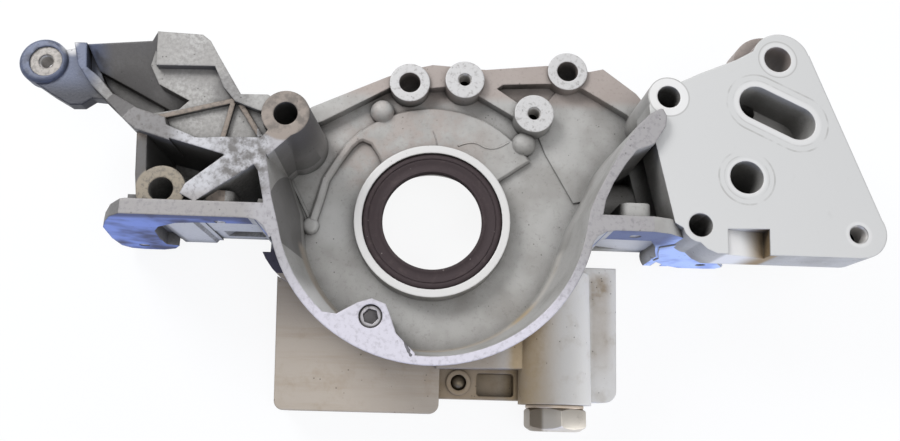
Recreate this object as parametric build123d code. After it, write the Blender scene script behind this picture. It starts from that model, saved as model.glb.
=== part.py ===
from build123d import *
from math import atan2, cos, degrees, hypot, pi, radians, sin, sqrt, tan
import os

os.makedirs("parts", exist_ok=True)

# The frame: +Z runs along the crank axis towards the front of the engine, +Y is up and +X is to the
# right as the pump is seen from the front. The origin is the crank axis at the block face, and every
# height below is measured forward from that face.

# Case heights
CASE_DEPTH = 76.0          # front of the arch rim, the ribs and the tall boss
FLOOR_HEIGHT = 28.0        # floor of the sprocket bowl
FLOOR_WALL = 5.5           # metal left behind the bowl floor where the back is hollow
SEAL_FACE_HEIGHT = 38.0    # front of the round boss that holds the crank seal
TOP_WALL_HEIGHT = 34.0     # low wall along the top of the case
BOLT_BOSS_HEIGHT = 36.0    # low bosses for the block bolts
TAPPED_BOSS_HEIGHT = 38.0  # two tapped bosses
LEFT_BOSS_HEIGHT = 72.0
FILTER_FACE_HEIGHT = 72.0
FILTER_PLATE_THICKNESS = 9.0
FILTER_SKIRT_DEPTH = 13.0
PLATEAU_STEP = 3.0         # raised cast land over the pump chamber
FLOOR_STEP = 0.8           # right part of the bowl's floor is this much higher
RIDGE_WIDTH = 4.2
DRAFT = 4.0                # casting draft of tall posts, degrees

# Bowl and pan rail
ARCH_RADIUS = 72.0
ARCH_WALL = 3.8
BOWL_DRAFT = 4.9           # the bowl is this much narrower at its floor, each side
BOWL_RISE = 1.3            # and the middle of its floor lies this much higher
ARCH_FOOT_RADIUS = 65.5    # the outside of the arch narrows too, towards the block
ARCH_FOOT_RISE = 1.7
PAN_RAIL_Y = -11.5
WING_THICKNESS = 7.0
WING_RECESS = 6.5          # hollow cast under the wings, up from the rail
WING_ROOF = 3.8            # metal over that hollow

# Pump
ECCENTRICITY = 3.0
INNER_TEETH = 9
ARCS_PER_LOBE = 12
OUTER_TOOTH_RADIUS = 5.5
TOOTH_CLEARANCE = 0.06     # each rotor is this much slack at the flanks
OUTER_ROTOR_OD = 95.0
OUTER_ROTOR_WALL = 3.84    # metal outside the spaces between its teeth
ROTOR_WIDTH = 10.0
ROTOR_AXIAL_GAP = 0.05
ROTOR_RADIAL_GAP = 0.08
CHAMBER_HOUSING_WALL = 10.0
LAND_DRAWN_RADIUS = 57.5   # the land's edge is drawn for a chamber housing of this radius
DRIVE_WALL = 3.54          # metal between the inner rotor's roots and its bore
DRIVE_FLAT_CUT = 2.4       # each flat stands this far into the bore
DRIVE_FLAT_ANGLE = 23.4
CRANK_PASSAGE = 59.0
PORT_DEPTH = 5.0

# Pump cover and its fasteners
COVER_INSET = 4.5
COVER_THICKNESS = 5.0
COVER_EDGE = 4.5           # from the cover screws' centres out to the cover's edge
COVER_SCREW_WALL = 4.5     # from the rotor chamber out to the screws' centres
COVER_BORE_ROOM = 1.5      # the cover's bore clears the drive bore by this much all round
COVER_ROOM = 1.2           # radial room round the cover in its seat
COVER_SCREW_COUNT = 8
COVER_SCREW_DIAMETER = 5.0
COVER_SCREW_HEAD = 9.6
COVER_SCREW_LENGTH = 15.0
DOWEL_DIAMETER = 5.0
DOWEL_LENGTH = 10.0
THREAD_GAP = 0.05          # radial room between a screw and its hole

# Crank oil seal
SEAL_OD = 68.0
SEAL_LIP = 48.4            # free, and pressed open by a 50 mm crank nose
SEAL_WIDTH = 8.0
SEAL_INSET = 0.6
SEAL_BOSS_RADIUS = 37.8
GARTER_WIRE = 1.4
SEAL_STEEL = 1.0

# Oil pressure relief valve, its bore along Y
RELIEF_X = 62.0
RELIEF_Z = 18.5
RELIEF_HOUSING_RADIUS = 17.6
RELIEF_HOUSING_END = -85.4
RELIEF_BORE = 18.0
RELIEF_SEAT_Y = -36.0
RELIEF_PORT_BORE = 12.0
RELIEF_SPILL_BORE = 7.0
PLUNGER_LENGTH = 22.0
PLUNGER_WALL = 2.6
PLUNGER_CROWN = 4.0
PLUNGER_GAP = 0.03
SPRING_WIRE = 1.8
SPRING_DIAMETER = 11.6
SPRING_TURNS = 6
SPRING_SIDES = 8           # its wire is drawn with flats, to keep the mesh light
PLUG_THREAD = 22.0
PLUG_ENGAGEMENT = 9.0
PLUG_HEX = 27.0
PLUG_HEX_HEIGHT = 10.6
PLUG_TURN = 27.0
GASKET_THICKNESS = 1.8
GASKET_OD = 28.0

# Fastener holes, as radii
BLOCK_BOLT_HOLE = 5.4      # clears an M10 bolt
FILTER_BOLT_HOLE = 6.4     # clears an M12 bolt
M6_TAP = 2.5
M8_TAP = 3.4
M10_TAP = 4.25
TAP_DEPTH = 20.0
SMALL_TAP_DEPTH = 12.0

# Places in the plane of the block face
TALL_BOLT = (-67.3, 37.0)
TOP_LEFT_BOLT = (-13.5, 71.7)
TOP_RIGHT_BOLT = (67.0, 81.3)
GALLERY_BOLT = (107.2, 54.0)
FILTER_LOW_BOLT = (119.1, -6.6)
LEFT_BOLT = (-119.5, 1.1)
TOP_TAPPED = (14.3, 73.6)
INNER_TAPPED = (49.5, 56.8)
FILTER_TOP_BOLT = (159.9, 75.1)
FILTER_TAPPED = (190.6, -8.5)
FILTER_INLET = (141.4, 16.4)
FILTER_SLOT_ENDS = ((148.4, 52.7), (167.1, 43.6))
SLOT_DRILLING = (151.9, 56.4)
ARM_HEAD = (-185.0, 65.0)
ARM_HOLE = (-183.4, 64.6)
BOWL_PLUG = (-25.2, -52.1)
LEFT_DOME = (-26.9, 57.6)
RIGHT_DOME = (45.2, 42.9)
BALL_PLUG = (15.5, -75.8)
RETURN_PORT = (121.0, 29.0)
PICKUP_PORT = (-40.0, -66.0)
PAN_FRONT_TAPS = ((-94.0, 66.0), (91.0, 66.0))
PAN_REAR_TAPS = ((-145.0, 10.0), (140.0, 10.0))

# Boss radii
TALL_BOSS_RADIUS = 10.7
LEFT_BOSS_FLAT = -7.0      # the left boss is cut flat under the wing's roof
LOW_BOSS_RADIUS = 10.2
TAPPED_BOSS_RADIUS = 9.9
DOME_RADIUS = 6.1
FILTER_TOP_RADIUS = 13.8
FILTER_CORNER_RADIUS = 12.0
INLET_RADIUS = 7.7
SLOT_HALF_WIDTH = 8.2
SLOT_DEPTH = 22.0
ARM_HEAD_RADIUS = 11.2
ARM_HEAD_HEIGHT = 60.0
ARM_SPOT_RADIUS = 7.5
ARM_SPOT_DEPTH = 0.6
ARM_THICKNESS = 8.0
BOWL_PLUG_HEX = 6.0
BOWL_PLUG_THREAD = 10.0
BOWL_PLUG_LENGTH = 9.0
BALL_PLUG_RADIUS = 3.8
CORE_PLUG_RADIUS = 8.0
CORE_PLUG_DEPTH = 5.0
CORE_PLUG_WALL = 1.2

# Oil ways
DUCT_HEIGHT = 16.0
DUCT_RADIUS = 11.0
DUCT_BORE = 7.0
DUCT_END_X = 160.0
RETURN_DUCT_HEIGHT = 40.0
RETURN_DUCT_BORE = 4.5
RETURN_BORE = 5.0
O_RING_SECTION = 2.4
O_RING_RADIUS = 8.2
O_RING_ROOM = 0.1

# Lower body, inside the sump
BOX_LEFT = -72.0
BOX_SPREAD = 3.1           # its left side leans out by this much towards the top
BOX_RIGHT = 6.0
BOX_BOTTOM = -91.0
BOX_HEIGHT = 21.0
BOX_WALL = 4.5
FOOT_BOTTOM = -83.5
SIDE_PLATE_HEIGHT = 14.0
PICKUP_BORE = 11.0
PICKUP_TAP_SPREAD = 22.0

# Left bracket
BRACKET_FLOOR = 70.0
BRACKET_THICKNESS = 18.0
BRACKET_FACE = 74.0
RIB_WIDTH = 2.2
RIB_RISE = 2.0
POCKET_FLOOR = 6.5         # metal between the deep pockets and the joint face

OUTER_TEETH = INNER_TEETH + 1
OUTER_ROOT = OUTER_ROTOR_OD / 2 - OUTER_ROTOR_WALL
OUTER_TOOTH_CIRCLE = OUTER_ROOT - 2 * ECCENTRICITY - TOOTH_CLEARANCE + OUTER_TOOTH_RADIUS
INNER_ROOT = OUTER_TOOTH_CIRCLE - ECCENTRICITY - OUTER_TOOTH_RADIUS - TOOTH_CLEARANCE
DRIVE_BORE = 2 * (INNER_ROOT - DRIVE_WALL)
DRIVE_FLATS = DRIVE_BORE - 2 * DRIVE_FLAT_CUT
CHAMBER_HOUSING_RADIUS = OUTER_ROTOR_OD / 2 + CHAMBER_HOUSING_WALL
COVER_SCREW_CIRCLE = OUTER_ROTOR_OD / 2 + COVER_SCREW_WALL
COVER_RADIUS = COVER_SCREW_CIRCLE + COVER_EDGE
COVER_BORE = DRIVE_BORE + 2 * COVER_BORE_ROOM
ARM_BACK = ARM_HEAD_HEIGHT - ARM_THICKNESS
BRACKET_BACK = BRACKET_FLOOR - BRACKET_THICKNESS
RIB_HEIGHT = BRACKET_FLOOR + RIB_RISE
COVER_SEAT = COVER_INSET + COVER_THICKNESS
CHAMBER_TOP = COVER_SEAT + ROTOR_WIDTH + 2 * ROTOR_AXIAL_GAP
CHAMBER_RADIUS = OUTER_ROTOR_OD / 2 + ROTOR_RADIAL_GAP
HOLLOW_HEIGHT = FLOOR_HEIGHT - FLOOR_WALL
WING_TOP_Y = PAN_RAIL_Y + WING_THICKNESS
FILTER_PLATE_BACK = FILTER_FACE_HEIGHT - FILTER_PLATE_THICKNESS
SEAL_FRONT = SEAL_FACE_HEIGHT - SEAL_INSET
SEAL_BACK = SEAL_FRONT - SEAL_WIDTH
PLUNGER_FOOT_Y = RELIEF_SEAT_Y - PLUNGER_LENGTH
PLUG_TOP_Y = RELIEF_HOUSING_END + PLUG_ENGAGEMENT
ABOVE = 5.0                # how far cutters run past a face
LOW = (Align.CENTER, Align.CENTER, Align.MIN)


def flat(points, radius=0.0):
    """Closed outline through the points, its corners rounded by one radius."""
    face = make_face(Polyline(*points, close=True))
    return fillet(face.vertices(), radius) if radius else face


def prism(points, bottom, top, radius=0.0):
    """Upright block on an outline, between two heights."""
    return extrude(Pos(0, 0, bottom) * flat(points, radius), amount=top - bottom, dir=(0, 0, 1))


def post(place, radius, bottom, top, draft=0.0):
    """Round post that widens towards its foot by the draft."""
    height = top - bottom
    foot = radius + height * tan(radians(draft))
    shape = Cone(foot, radius, height, align=LOW) if draft else Cylinder(radius, height, align=LOW)
    return Pos(place[0], place[1], bottom) * shape


def strip(start, end, width, bottom, top):
    """Straight rib of one width between two places."""
    length = hypot(end[0] - start[0], end[1] - start[1])
    turn = degrees(atan2(end[1] - start[1], end[0] - start[0]))
    middle = ((start[0] + end[0]) / 2, (start[1] + end[1]) / 2)
    bar = Box(length, width, top - bottom, align=LOW)
    return Pos(middle[0], middle[1], bottom) * Rot(0, 0, turn) * bar


def slot(ends, half_width, bottom, top):
    """Upright block with two round ends."""
    body = strip(ends[0], ends[1], 2 * half_width, bottom, top)
    return body + post(ends[0], half_width, bottom, top) + post(ends[1], half_width, bottom, top)


def rod(start, end, radius):
    """Round bar between two points in space."""
    axis = Vector(*end) - Vector(*start)
    plane = Plane(origin=start, z_dir=axis)
    return plane * Cylinder(radius, axis.length, align=LOW)


def plan_slab(points, low_y, high_y, radius=0.0):
    """Level slab whose outline is given as X and Z, between two values of Y."""
    face = make_face(Polyline(*[(x, low_y, z) for x, z in points], close=True))
    if radius:
        face = fillet(face.vertices(), radius)
    return extrude(face, amount=high_y - low_y, dir=(0, 1, 0))


def bowl_outline(height, part_way):
    """Inner edge of the sprocket bowl, at the floor for 0 and at the rim for 1."""
    mouth = [(69.0, -2.1), (72.0, 4.8), (76.7, 13.8), (85.4, 29.4), (90.9, 37.5), (96.8, 43.5), (103.0, 47.0),
             (103.0, 120.0), (-50.0, 120.0), (-50.0, 40.0), (-74.5, 18.0), (-70.7, -1.0)]
    floor = [(66.3, -0.9), (70.8, 7.5), (74.4, 15.0), (79.3, 26.1), (85.1, 34.3), (92.0, 41.3), (98.4, 49.0),
             (98.4, 120.0), (-50.0, 120.0), (-50.0, 40.0), (-70.5, 20.0), (-62.8, 1.4)]
    corners = [(f[0] + part_way * (m[0] - f[0]), f[1] + part_way * (m[1] - f[1])) for m, f in zip(mouth, floor)]
    radius = ARCH_RADIUS - ARCH_WALL - BOWL_DRAFT * (1 - part_way)
    rise = BOWL_RISE * (1 - part_way)
    side_y = PAN_RAIL_Y - 4.0
    reach = sqrt(radius ** 2 - (side_y - rise) ** 2)
    arch = ThreePointArc((-reach, side_y), (0, rise - radius), (reach, side_y))
    return Pos(0, 0, height) * make_face([arch, Polyline((reach, side_y), *corners, (-reach, side_y))])


def bowl_void():
    """Space inside the arch, wider at its mouth than at its floor."""
    past = 1 + ABOVE / (CASE_DEPTH - FLOOR_HEIGHT)
    return loft([bowl_outline(FLOOR_HEIGHT, 0), bowl_outline(CASE_DEPTH + ABOVE, past)], ruled=True)


def arch_body():
    """Round body of the arch, down from the top of the wings."""
    foot = Pos(0, ARCH_FOOT_RISE, 0) * Circle(ARCH_FOOT_RADIUS)
    arch = loft([foot, Pos(0, 0, CASE_DEPTH) * Circle(ARCH_RADIUS)], ruled=True)
    below = Box(400, 200, 2 * CASE_DEPTH + ABOVE, align=(Align.CENTER, Align.MAX, Align.CENTER))
    return arch & (Pos(0, WING_TOP_Y, 0) * below)


def arch_and_walls():
    """The arch under the crank and the walls that carry it up to the bosses each side."""
    left = [(-72.3, -14.0), (-74.3, -2.2), (-77.4, 10.1), (-80.0, 13.5), (-92.5, 16.4), (-99.0, 22.6), (-84.0, 24.0),
            (-74.0, 26.0), (-62.0, 26.0), (-50.0, 20.0), (-56.0, -5.0), (-64.0, -14.0)]
    right = [(70.0, -14.0), (74.0, -6.5), (75.8, 2.2), (79.5, 10.4), (85.1, 19.2), (90.4, 26.0), (98.6, 29.4),
             (104.0, 38.0), (104.6, 43.0), (103.0, 46.2), (98.5, 46.8), (88.0, 45.0), (66.0, 20.0), (58.0, -14.0)]
    walls = arch_body() + prism(left, 0, CASE_DEPTH) + prism(right, 0, CASE_DEPTH)
    left_corner = [(-60.0, -8.0), (-70.2, -20.0), (-73.0, -14.8), (-76.5, -12.2), (-81.0, PAN_RAIL_Y), (-81.0, -8.0)]
    right_corner = [(60.0, -8.0), (67.6, -22.0), (69.5, -17.6), (72.2, -14.2), (75.8, -12.2), (80.0, PAN_RAIL_Y),
                    (80.0, -8.0)]
    walls += prism(left_corner, FLOOR_HEIGHT, CASE_DEPTH) + prism(right_corner, FLOOR_HEIGHT, CASE_DEPTH)
    flange = prism([(-86.0, -7.0), (-84.3, -11.2), (-82.8, -14.9), (-80.2, -19.8), (-76.6, -24.7), (-73.0, -28.2),
                    (-68.0, -31.0), (-60.0, -20.0), (-66.0, -6.0)], 0, FLOOR_HEIGHT)
    return walls + flange


def bowl_band():
    """Metal between the left wall and the tall bolt boss, kept when the bowl is hollowed."""
    return prism([(-78.0, 24.8), (-75.0, 28.0), (-68.0, 42.0), (-57.5, 33.5), (-73.8, 16.8)], FLOOR_HEIGHT, CASE_DEPTH)


def floor_plate():
    """The plate behind the bowl, with the joint to the block along its edge."""
    outline = [(-130.5, WING_TOP_Y), (-131.5, 29.5), (-114.5, 27.6), (-99.2, 24.0), (-85.0, 24.0), (-78.0, 47.0),
               (-62.1, 57.2), (-25.3, 75.0), (-2.1, 81.8), (25.2, 81.2), (56.2, 84.8), (78.4, 84.6), (86.0, 84.0),
               (102.6, 71.3), (116.0, 60.0), (128.0, 42.0), (134.0, 28.0), (130.0, 4.0), (129.0, WING_TOP_Y)]
    return prism(outline, 0, FLOOR_HEIGHT)


def top_wall():
    """Low wall that ties the bosses along the top edge."""
    left = [(-62.1, 57.2), (-25.3, 75.0), (-16.0, 79.0), (-16.0, 72.0), (-24.0, 69.1), (-56.2, 49.9),
            (-66.0, 46.0), (-72.0, 50.0)]
    middle = [(-14.0, 79.5), (-2.1, 82.7), (12.0, 82.0), (12.0, 72.0), (-2.0, 70.0), (-14.0, 72.0)]
    right = [(16.0, 81.5), (25.2, 81.2), (56.2, 84.8), (66.0, 84.8), (66.0, 74.8), (55.6, 74.8),
             (34.0, 73.4), (30.9, 71.0), (47.0, 60.0), (41.0, 55.4), (22.8, 66.0), (16.0, 70.0)]
    corner = [(68.0, 85.0), (78.4, 82.4), (85.8, 84.2), (102.6, 71.3), (110.0, 62.0), (104.0, 52.0),
              (97.6, 59.6), (75.2, 72.9), (66.0, 76.0)]
    wall = prism(left, 0, TOP_WALL_HEIGHT) + prism(middle, 0, TOP_WALL_HEIGHT)
    return wall + prism(right, 0, TOP_WALL_HEIGHT) + prism(corner, 0, TOP_WALL_HEIGHT)


def band(points, width):
    """Outline of a bent strip of one width along a centre line."""
    left, right = [], []
    for i, (x, y) in enumerate(points):
        before, after = points[max(i - 1, 0)], points[min(i + 1, len(points) - 1)]
        run, climb = after[0] - before[0], after[1] - before[1]
        length = hypot(run, climb)
        left.append((x - climb / length * width / 2, y + run / length * width / 2))
        right.append((x + climb / length * width / 2, y - run / length * width / 2))
    return left + right[::-1]


def chamber_land():
    """Raised cast land over the pump chamber, with the ridge that runs on from it down to a round nub."""
    top = FLOOR_HEIGHT + PLATEAU_STEP
    land = post((0, ECCENTRICITY), CHAMBER_HOUSING_RADIUS, FLOOR_HEIGHT - ABOVE, top)
    edge = [(0, 0), (66.0, 46.0), (40.0, 90.0), (-40.0, 90.0), (-42.0, 43.0), (-39.5, 40.2), (-36.0, 41.5),
            (-32.0, 40.0), (-28.0, 34.0), (-25.5, 28.5)]
    spread = CHAMBER_HOUSING_RADIUS / LAND_DRAWN_RADIUS
    land &= prism([(x * spread, y * spread) for x, y in edge], FLOOR_HEIGHT - ABOVE, top)
    land = chamfer(land.edges().group_by(Axis.Z)[-1], 1.0)
    line = [(-58.6, -1.0), (-55.7, 10.3), (-53.4, 20.7), (-48.2, 30.1), (-42.5, 39.0), (-35.5, 46.2)]
    ridge = prism(band(line, RIDGE_WIDTH), FLOOR_HEIGHT - ABOVE, top)
    ridge = chamfer(ridge.edges().group_by(Axis.Z)[-1], 1.0)
    nub = post((-59.5, -3.1), RIDGE_WIDTH, FLOOR_HEIGHT - ABOVE, top)
    nub = fillet(nub.edges().group_by(Axis.Z)[-1], RIDGE_WIDTH / 2)
    seam = strip((-70.7, 20.6), (-60.5, 1.2), 1.2, FLOOR_HEIGHT - ABOVE, FLOOR_HEIGHT + FLOOR_STEP)
    return land + ridge + nub + seam


def side_floor():
    """Right part of the bowl's floor, one small step higher."""
    outline = [(56.4, 38.5), (70.5, 13.2), (75.5, 14.5), (80.5, 25.5), (86.3, 33.6), (93.0, 40.5), (99.5, 48.5),
               (98.8, 60.4), (76.0, 74.0), (66.0, 77.5), (49.5, 56.8)]
    return prism(outline, FLOOR_HEIGHT - ABOVE, FLOOR_HEIGHT + FLOOR_STEP)


def chamber_housing():
    """Thick ring that the pump chamber is bored in."""
    return post((0, ECCENTRICITY), CHAMBER_HOUSING_RADIUS, 0, FLOOR_HEIGHT)


def wings():
    """The two pan rail wings, each with a round end pad and a sealing strip along its front."""
    left = [(-66.0, 30.0), (-66.0, CASE_DEPTH), (-135.0, CASE_DEPTH), (-141.0, 70.0), (-147.0, 59.0), (-151.5, 48.5),
            (-156.0, 24.6), (-157.0, 8.0), (-154.0, 2.0), (-148.0, 0.0), (-138.0, 0.0), (-131.0, 4.0), (-126.5, 12.5),
            (-114.0, 15.0), (-107.5, 27.5), (-98.0, 31.0)]
    right = [(66.0, 28.0), (66.0, CASE_DEPTH), (97.0, CASE_DEPTH), (105.0, 73.2), (118.6, 61.0), (127.4, 50.4),
             (149.4, 12.0), (153.3, 6.0), (151.0, 1.0), (145.0, 0.0), (131.0, 0.0), (122.0, 6.0), (112.0, 17.0),
             (104.0, 20.0)]
    left_hollow = [(-78.0, -ABOVE), (-78.0, 64.5), (-104.0, 64.0), (-115.0, 61.5), (-125.0, 53.0), (-129.5, 43.7),
                   (-132.0, 28.0), (-132.7, 14.0), (-124.0, 10.0), (-112.0, -ABOVE)]
    right_hollow = [(77.5, -ABOVE), (77.5, 59.0), (100.5, 58.1), (106.0, 46.0), (109.2, 34.6), (113.5, 22.0),
                    (110.0, 12.0), (110.0, -ABOVE)]
    roof = PAN_RAIL_Y + WING_RECESS
    body = plan_slab(left, PAN_RAIL_Y, WING_TOP_Y) + plan_slab(right, PAN_RAIL_Y, WING_TOP_Y)
    hollow = plan_slab(left_hollow, PAN_RAIL_Y - ABOVE, roof) + plan_slab(right_hollow, PAN_RAIL_Y - ABOVE, roof)
    left_cover = [(-70.0, 20.0), (-70.0, 70.0), (-134.0, 70.0), (-136.0, 40.0), (-136.0, 10.0), (-126.5, 10.0),
                  (-114.0, 15.0), (-107.5, 20.0)]
    right_cover = [(70.0, 20.0), (70.0, 66.0), (104.0, 66.0), (114.0, 36.0), (118.0, 20.0), (114.0, 8.0), (100.0, 8.0)]
    cover = plan_slab(left_cover, roof, roof + WING_ROOF) + plan_slab(right_cover, roof, roof + WING_ROOF)
    for x, z in PAN_REAR_TAPS:
        cover += rod((x, PAN_RAIL_Y, z), (x, PAN_RAIL_Y + SMALL_TAP_DEPTH, z), 8.0)
    slant = prism([(-133.0, WING_TOP_Y), (-160.0, WING_TOP_Y - 5.0), (-160.0, WING_TOP_Y + 1)], 30.0, CASE_DEPTH + 1)
    return body + cover - slant, hollow


def pan_bosses():
    """Lumps on top of the wings that give the pan bolts their thread."""
    left = plan_slab([(-103.0, 48.0), (-103.0, 72.0), (-88.0, 72.0), (-88.0, 48.0)], WING_TOP_Y, 1.5, 4.0)
    right = plan_slab([(84.0, 46.0), (84.0, 70.0), (98.0, 70.0), (98.0, 46.0)], WING_TOP_Y, 3.0, 4.0)
    return left + right


def left_box():
    """Walls of the two pockets below the bracket, with the boss at their corner."""
    side = prism([(-129.5, WING_TOP_Y), (-131.3, 7.7), (-133.0, 29.5), (-128.5, 29.5), (-126.5, 7.0),
                  (-125.5, WING_TOP_Y)], 0, LEFT_BOSS_HEIGHT)
    main = [(-138.2, 31.6), (-132.3, 26.9), (-123.4, 25.0), (-105.5, 20.3), (-92.5, 16.8), (-80.0, 14.0),
            (-76.0, 21.2), (-84.9, 23.0), (-105.9, 24.2), (-120.5, 30.2), (-129.5, 32.6), (-136.0, 36.2)]
    diagonal = [(-92.5, 16.4), (-108.0, 3.0), (-110.0, -1.5), (-103.4, -4.9), (-79.2, 12.8), (-80.0, 18.0)]
    boss = post(LEFT_BOLT, TALL_BOSS_RADIUS, 0, LEFT_BOSS_HEIGHT, 0.6)
    boss -= Pos(LEFT_BOLT[0], LEFT_BOSS_FLAT, 0) * Box(60, 40, 2 * LEFT_BOSS_HEIGHT + ABOVE,
                                                       align=(Align.CENTER, Align.MAX, Align.CENTER))
    foot = prism([(-130.0, WING_TOP_Y - 1), (-128.0, 4.0), (-111.0, 4.0), (-108.0, WING_TOP_Y - 1)], 0,
                 LEFT_BOSS_HEIGHT - 2)
    return side + prism(main, 20.0, CASE_DEPTH) + prism(diagonal, 24.0, CASE_DEPTH) + boss + foot


def bracket():
    """The bracket above the left pockets: a web with ribs, a raised pad and a thick upper edge."""
    web = [(-128.3, 75.1), (-107.9, 74.4), (-104.0, 71.4), (-100.2, 65.1), (-88.2, 46.1), (-76.1, 46.4),
           (-66.0, 40.0), (-72.0, 24.0), (-80.0, 20.0), (-99.2, 24.0), (-114.5, 28.0), (-128.7, 33.0),
           (-128.7, 36.5), (-116.1, 39.2), (-112.0, 43.6), (-126.3, 50.9), (-131.0, 60.0)]
    plate = prism(web, BRACKET_BACK, BRACKET_FLOOR)
    pad = prism([(-128.3, 75.1), (-107.9, 74.4), (-104.0, 71.4), (-100.1, 59.2), (-127.3, 58.5)], BRACKET_BACK,
                BRACKET_FACE)
    edge = [(-104.0, 71.4), (-100.2, 65.1), (-88.2, 46.1), (-76.1, 46.4), (-66.0, 40.0), (-79.0, 38.5),
            (-90.4, 42.6), (-96.2, 49.2), (-101.4, 60.0)]
    raised = plate + pad + prism(edge, BRACKET_BACK, BRACKET_FACE)
    for start, end in (((-127.2, 33.6), (-91.4, 43.8)), ((-91.9, 42.6), (-94.9, 26.0)), ((-88.4, 42.0), (-78.4, 27.0))):
        raised += strip(start, end, RIB_WIDTH, BRACKET_BACK, RIB_HEIGHT)
    hub = prism([(-106.0, 21.0), (-84.9, 18.3), (-72.0, 20.0), (-70.0, 27.0), (-76.2, 25.2), (-93.7, 24.9),
                 (-104.0, 24.0)], BRACKET_BACK, CASE_DEPTH)
    return raised + hub


def bracket_arm():
    """Arm from the bracket out to its tapped eye, with the ridge that stiffens it."""
    outline = [(-181.0, 73.4), (-175.3, 71.5), (-169.5, 73.0), (-133.0, 72.0), (-128.0, 60.0), (-128.0, 40.0),
               (-140.5, 35.0), (-148.7, 41.4), (-155.3, 47.4), (-160.4, 47.8), (-165.0, 44.3), (-170.6, 44.1),
               (-179.6, 49.1), (-192.0, 57.0)]
    arm = prism(outline, ARM_BACK, ARM_HEAD_HEIGHT - 2.0)
    eye = post(ARM_HEAD, ARM_HEAD_RADIUS, ARM_BACK, ARM_HEAD_HEIGHT)
    eye = fillet(eye.edges().group_by(Axis.Z)[-1], 2.2)
    spot = post(ARM_HOLE, ARM_SPOT_RADIUS, ARM_HEAD_HEIGHT - ARM_SPOT_DEPTH, ARM_HEAD_HEIGHT + ABOVE)
    trough = prism([(-158.3, 61.4), (-142.6, 53.2), (-118.4, 40.2), (-128.7, 36.2), (-133.0, 37.0), (-148.4, 47.6),
                    (-156.0, 56.0)], ARM_BACK + 2.0, CASE_DEPTH)
    backing = prism([(-156.0, 66.0), (-140.0, 70.0), (-126.0, 62.0), (-116.0, 44.0), (-126.0, 36.0), (-134.0, 37.0),
                     (-148.0, 48.0), (-154.0, 56.0)], ARM_BACK - 5.0, ARM_BACK)
    low = [(-169.6, 72.8), (-163.9, 72.8), (-162.4, 60.8), (-156.0, 55.8), (-148.4, 47.2), (-143.0, 43.0),
           (-141.5, 37.0), (-146.0, 40.4), (-153.2, 46.4), (-159.6, 52.1), (-166.5, 61.5)]
    high = [(-153.2, 46.2), (-148.4, 47.8), (-132.9, 36.9), (-120.0, 33.0), (-116.9, 22.4), (-131.4, 26.8),
            (-138.2, 31.6), (-145.4, 38.9)]
    slope = Plane(origin=(-137.0, 34.0, CASE_DEPTH), z_dir=(-0.42, 0.36, 0.83))
    ridge = prism(high, ARM_BACK, CASE_DEPTH) - slope * Box(160, 160, 60, align=LOW)
    return arm + eye - spot - trough + backing + prism(low, ARM_BACK, 64.0) + ridge


def arm_panel():
    """Sloping panel between the arm's ridge and the raised pad."""
    outline = [(-163.9, 72.6), (-131.0, 71.4), (-128.0, 75.0), (-127.0, 51.7), (-113.0, 44.4), (-118.4, 39.8),
               (-142.6, 52.8), (-158.3, 61.0)]
    slope = Plane(origin=(-163.0, 72.5, 63.0), z_dir=(-0.25, -0.43, 0.87))
    return prism(outline, ARM_BACK - 1.0, BRACKET_FACE) - slope * Box(300, 300, 80, align=LOW)


def filter_outline():
    """Edge of the filter plate without its three round corners."""
    return [(100.3, 30.7), (107.6, -6.0), (112.4, -8.8), (118.0, -14.0), (121.5, -17.4), (126.0, -19.4),
            (191.5, -19.4), (203.4, -6.0), (200.8, 1.9), (175.2, 77.6), (160.0, 87.0), (148.5, 79.0), (139.9, 74.0),
            (122.4, 66.4), (112.0, 61.2), (103.0, 60.0), (98.0, 50.0), (98.2, 40.0)]


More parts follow.
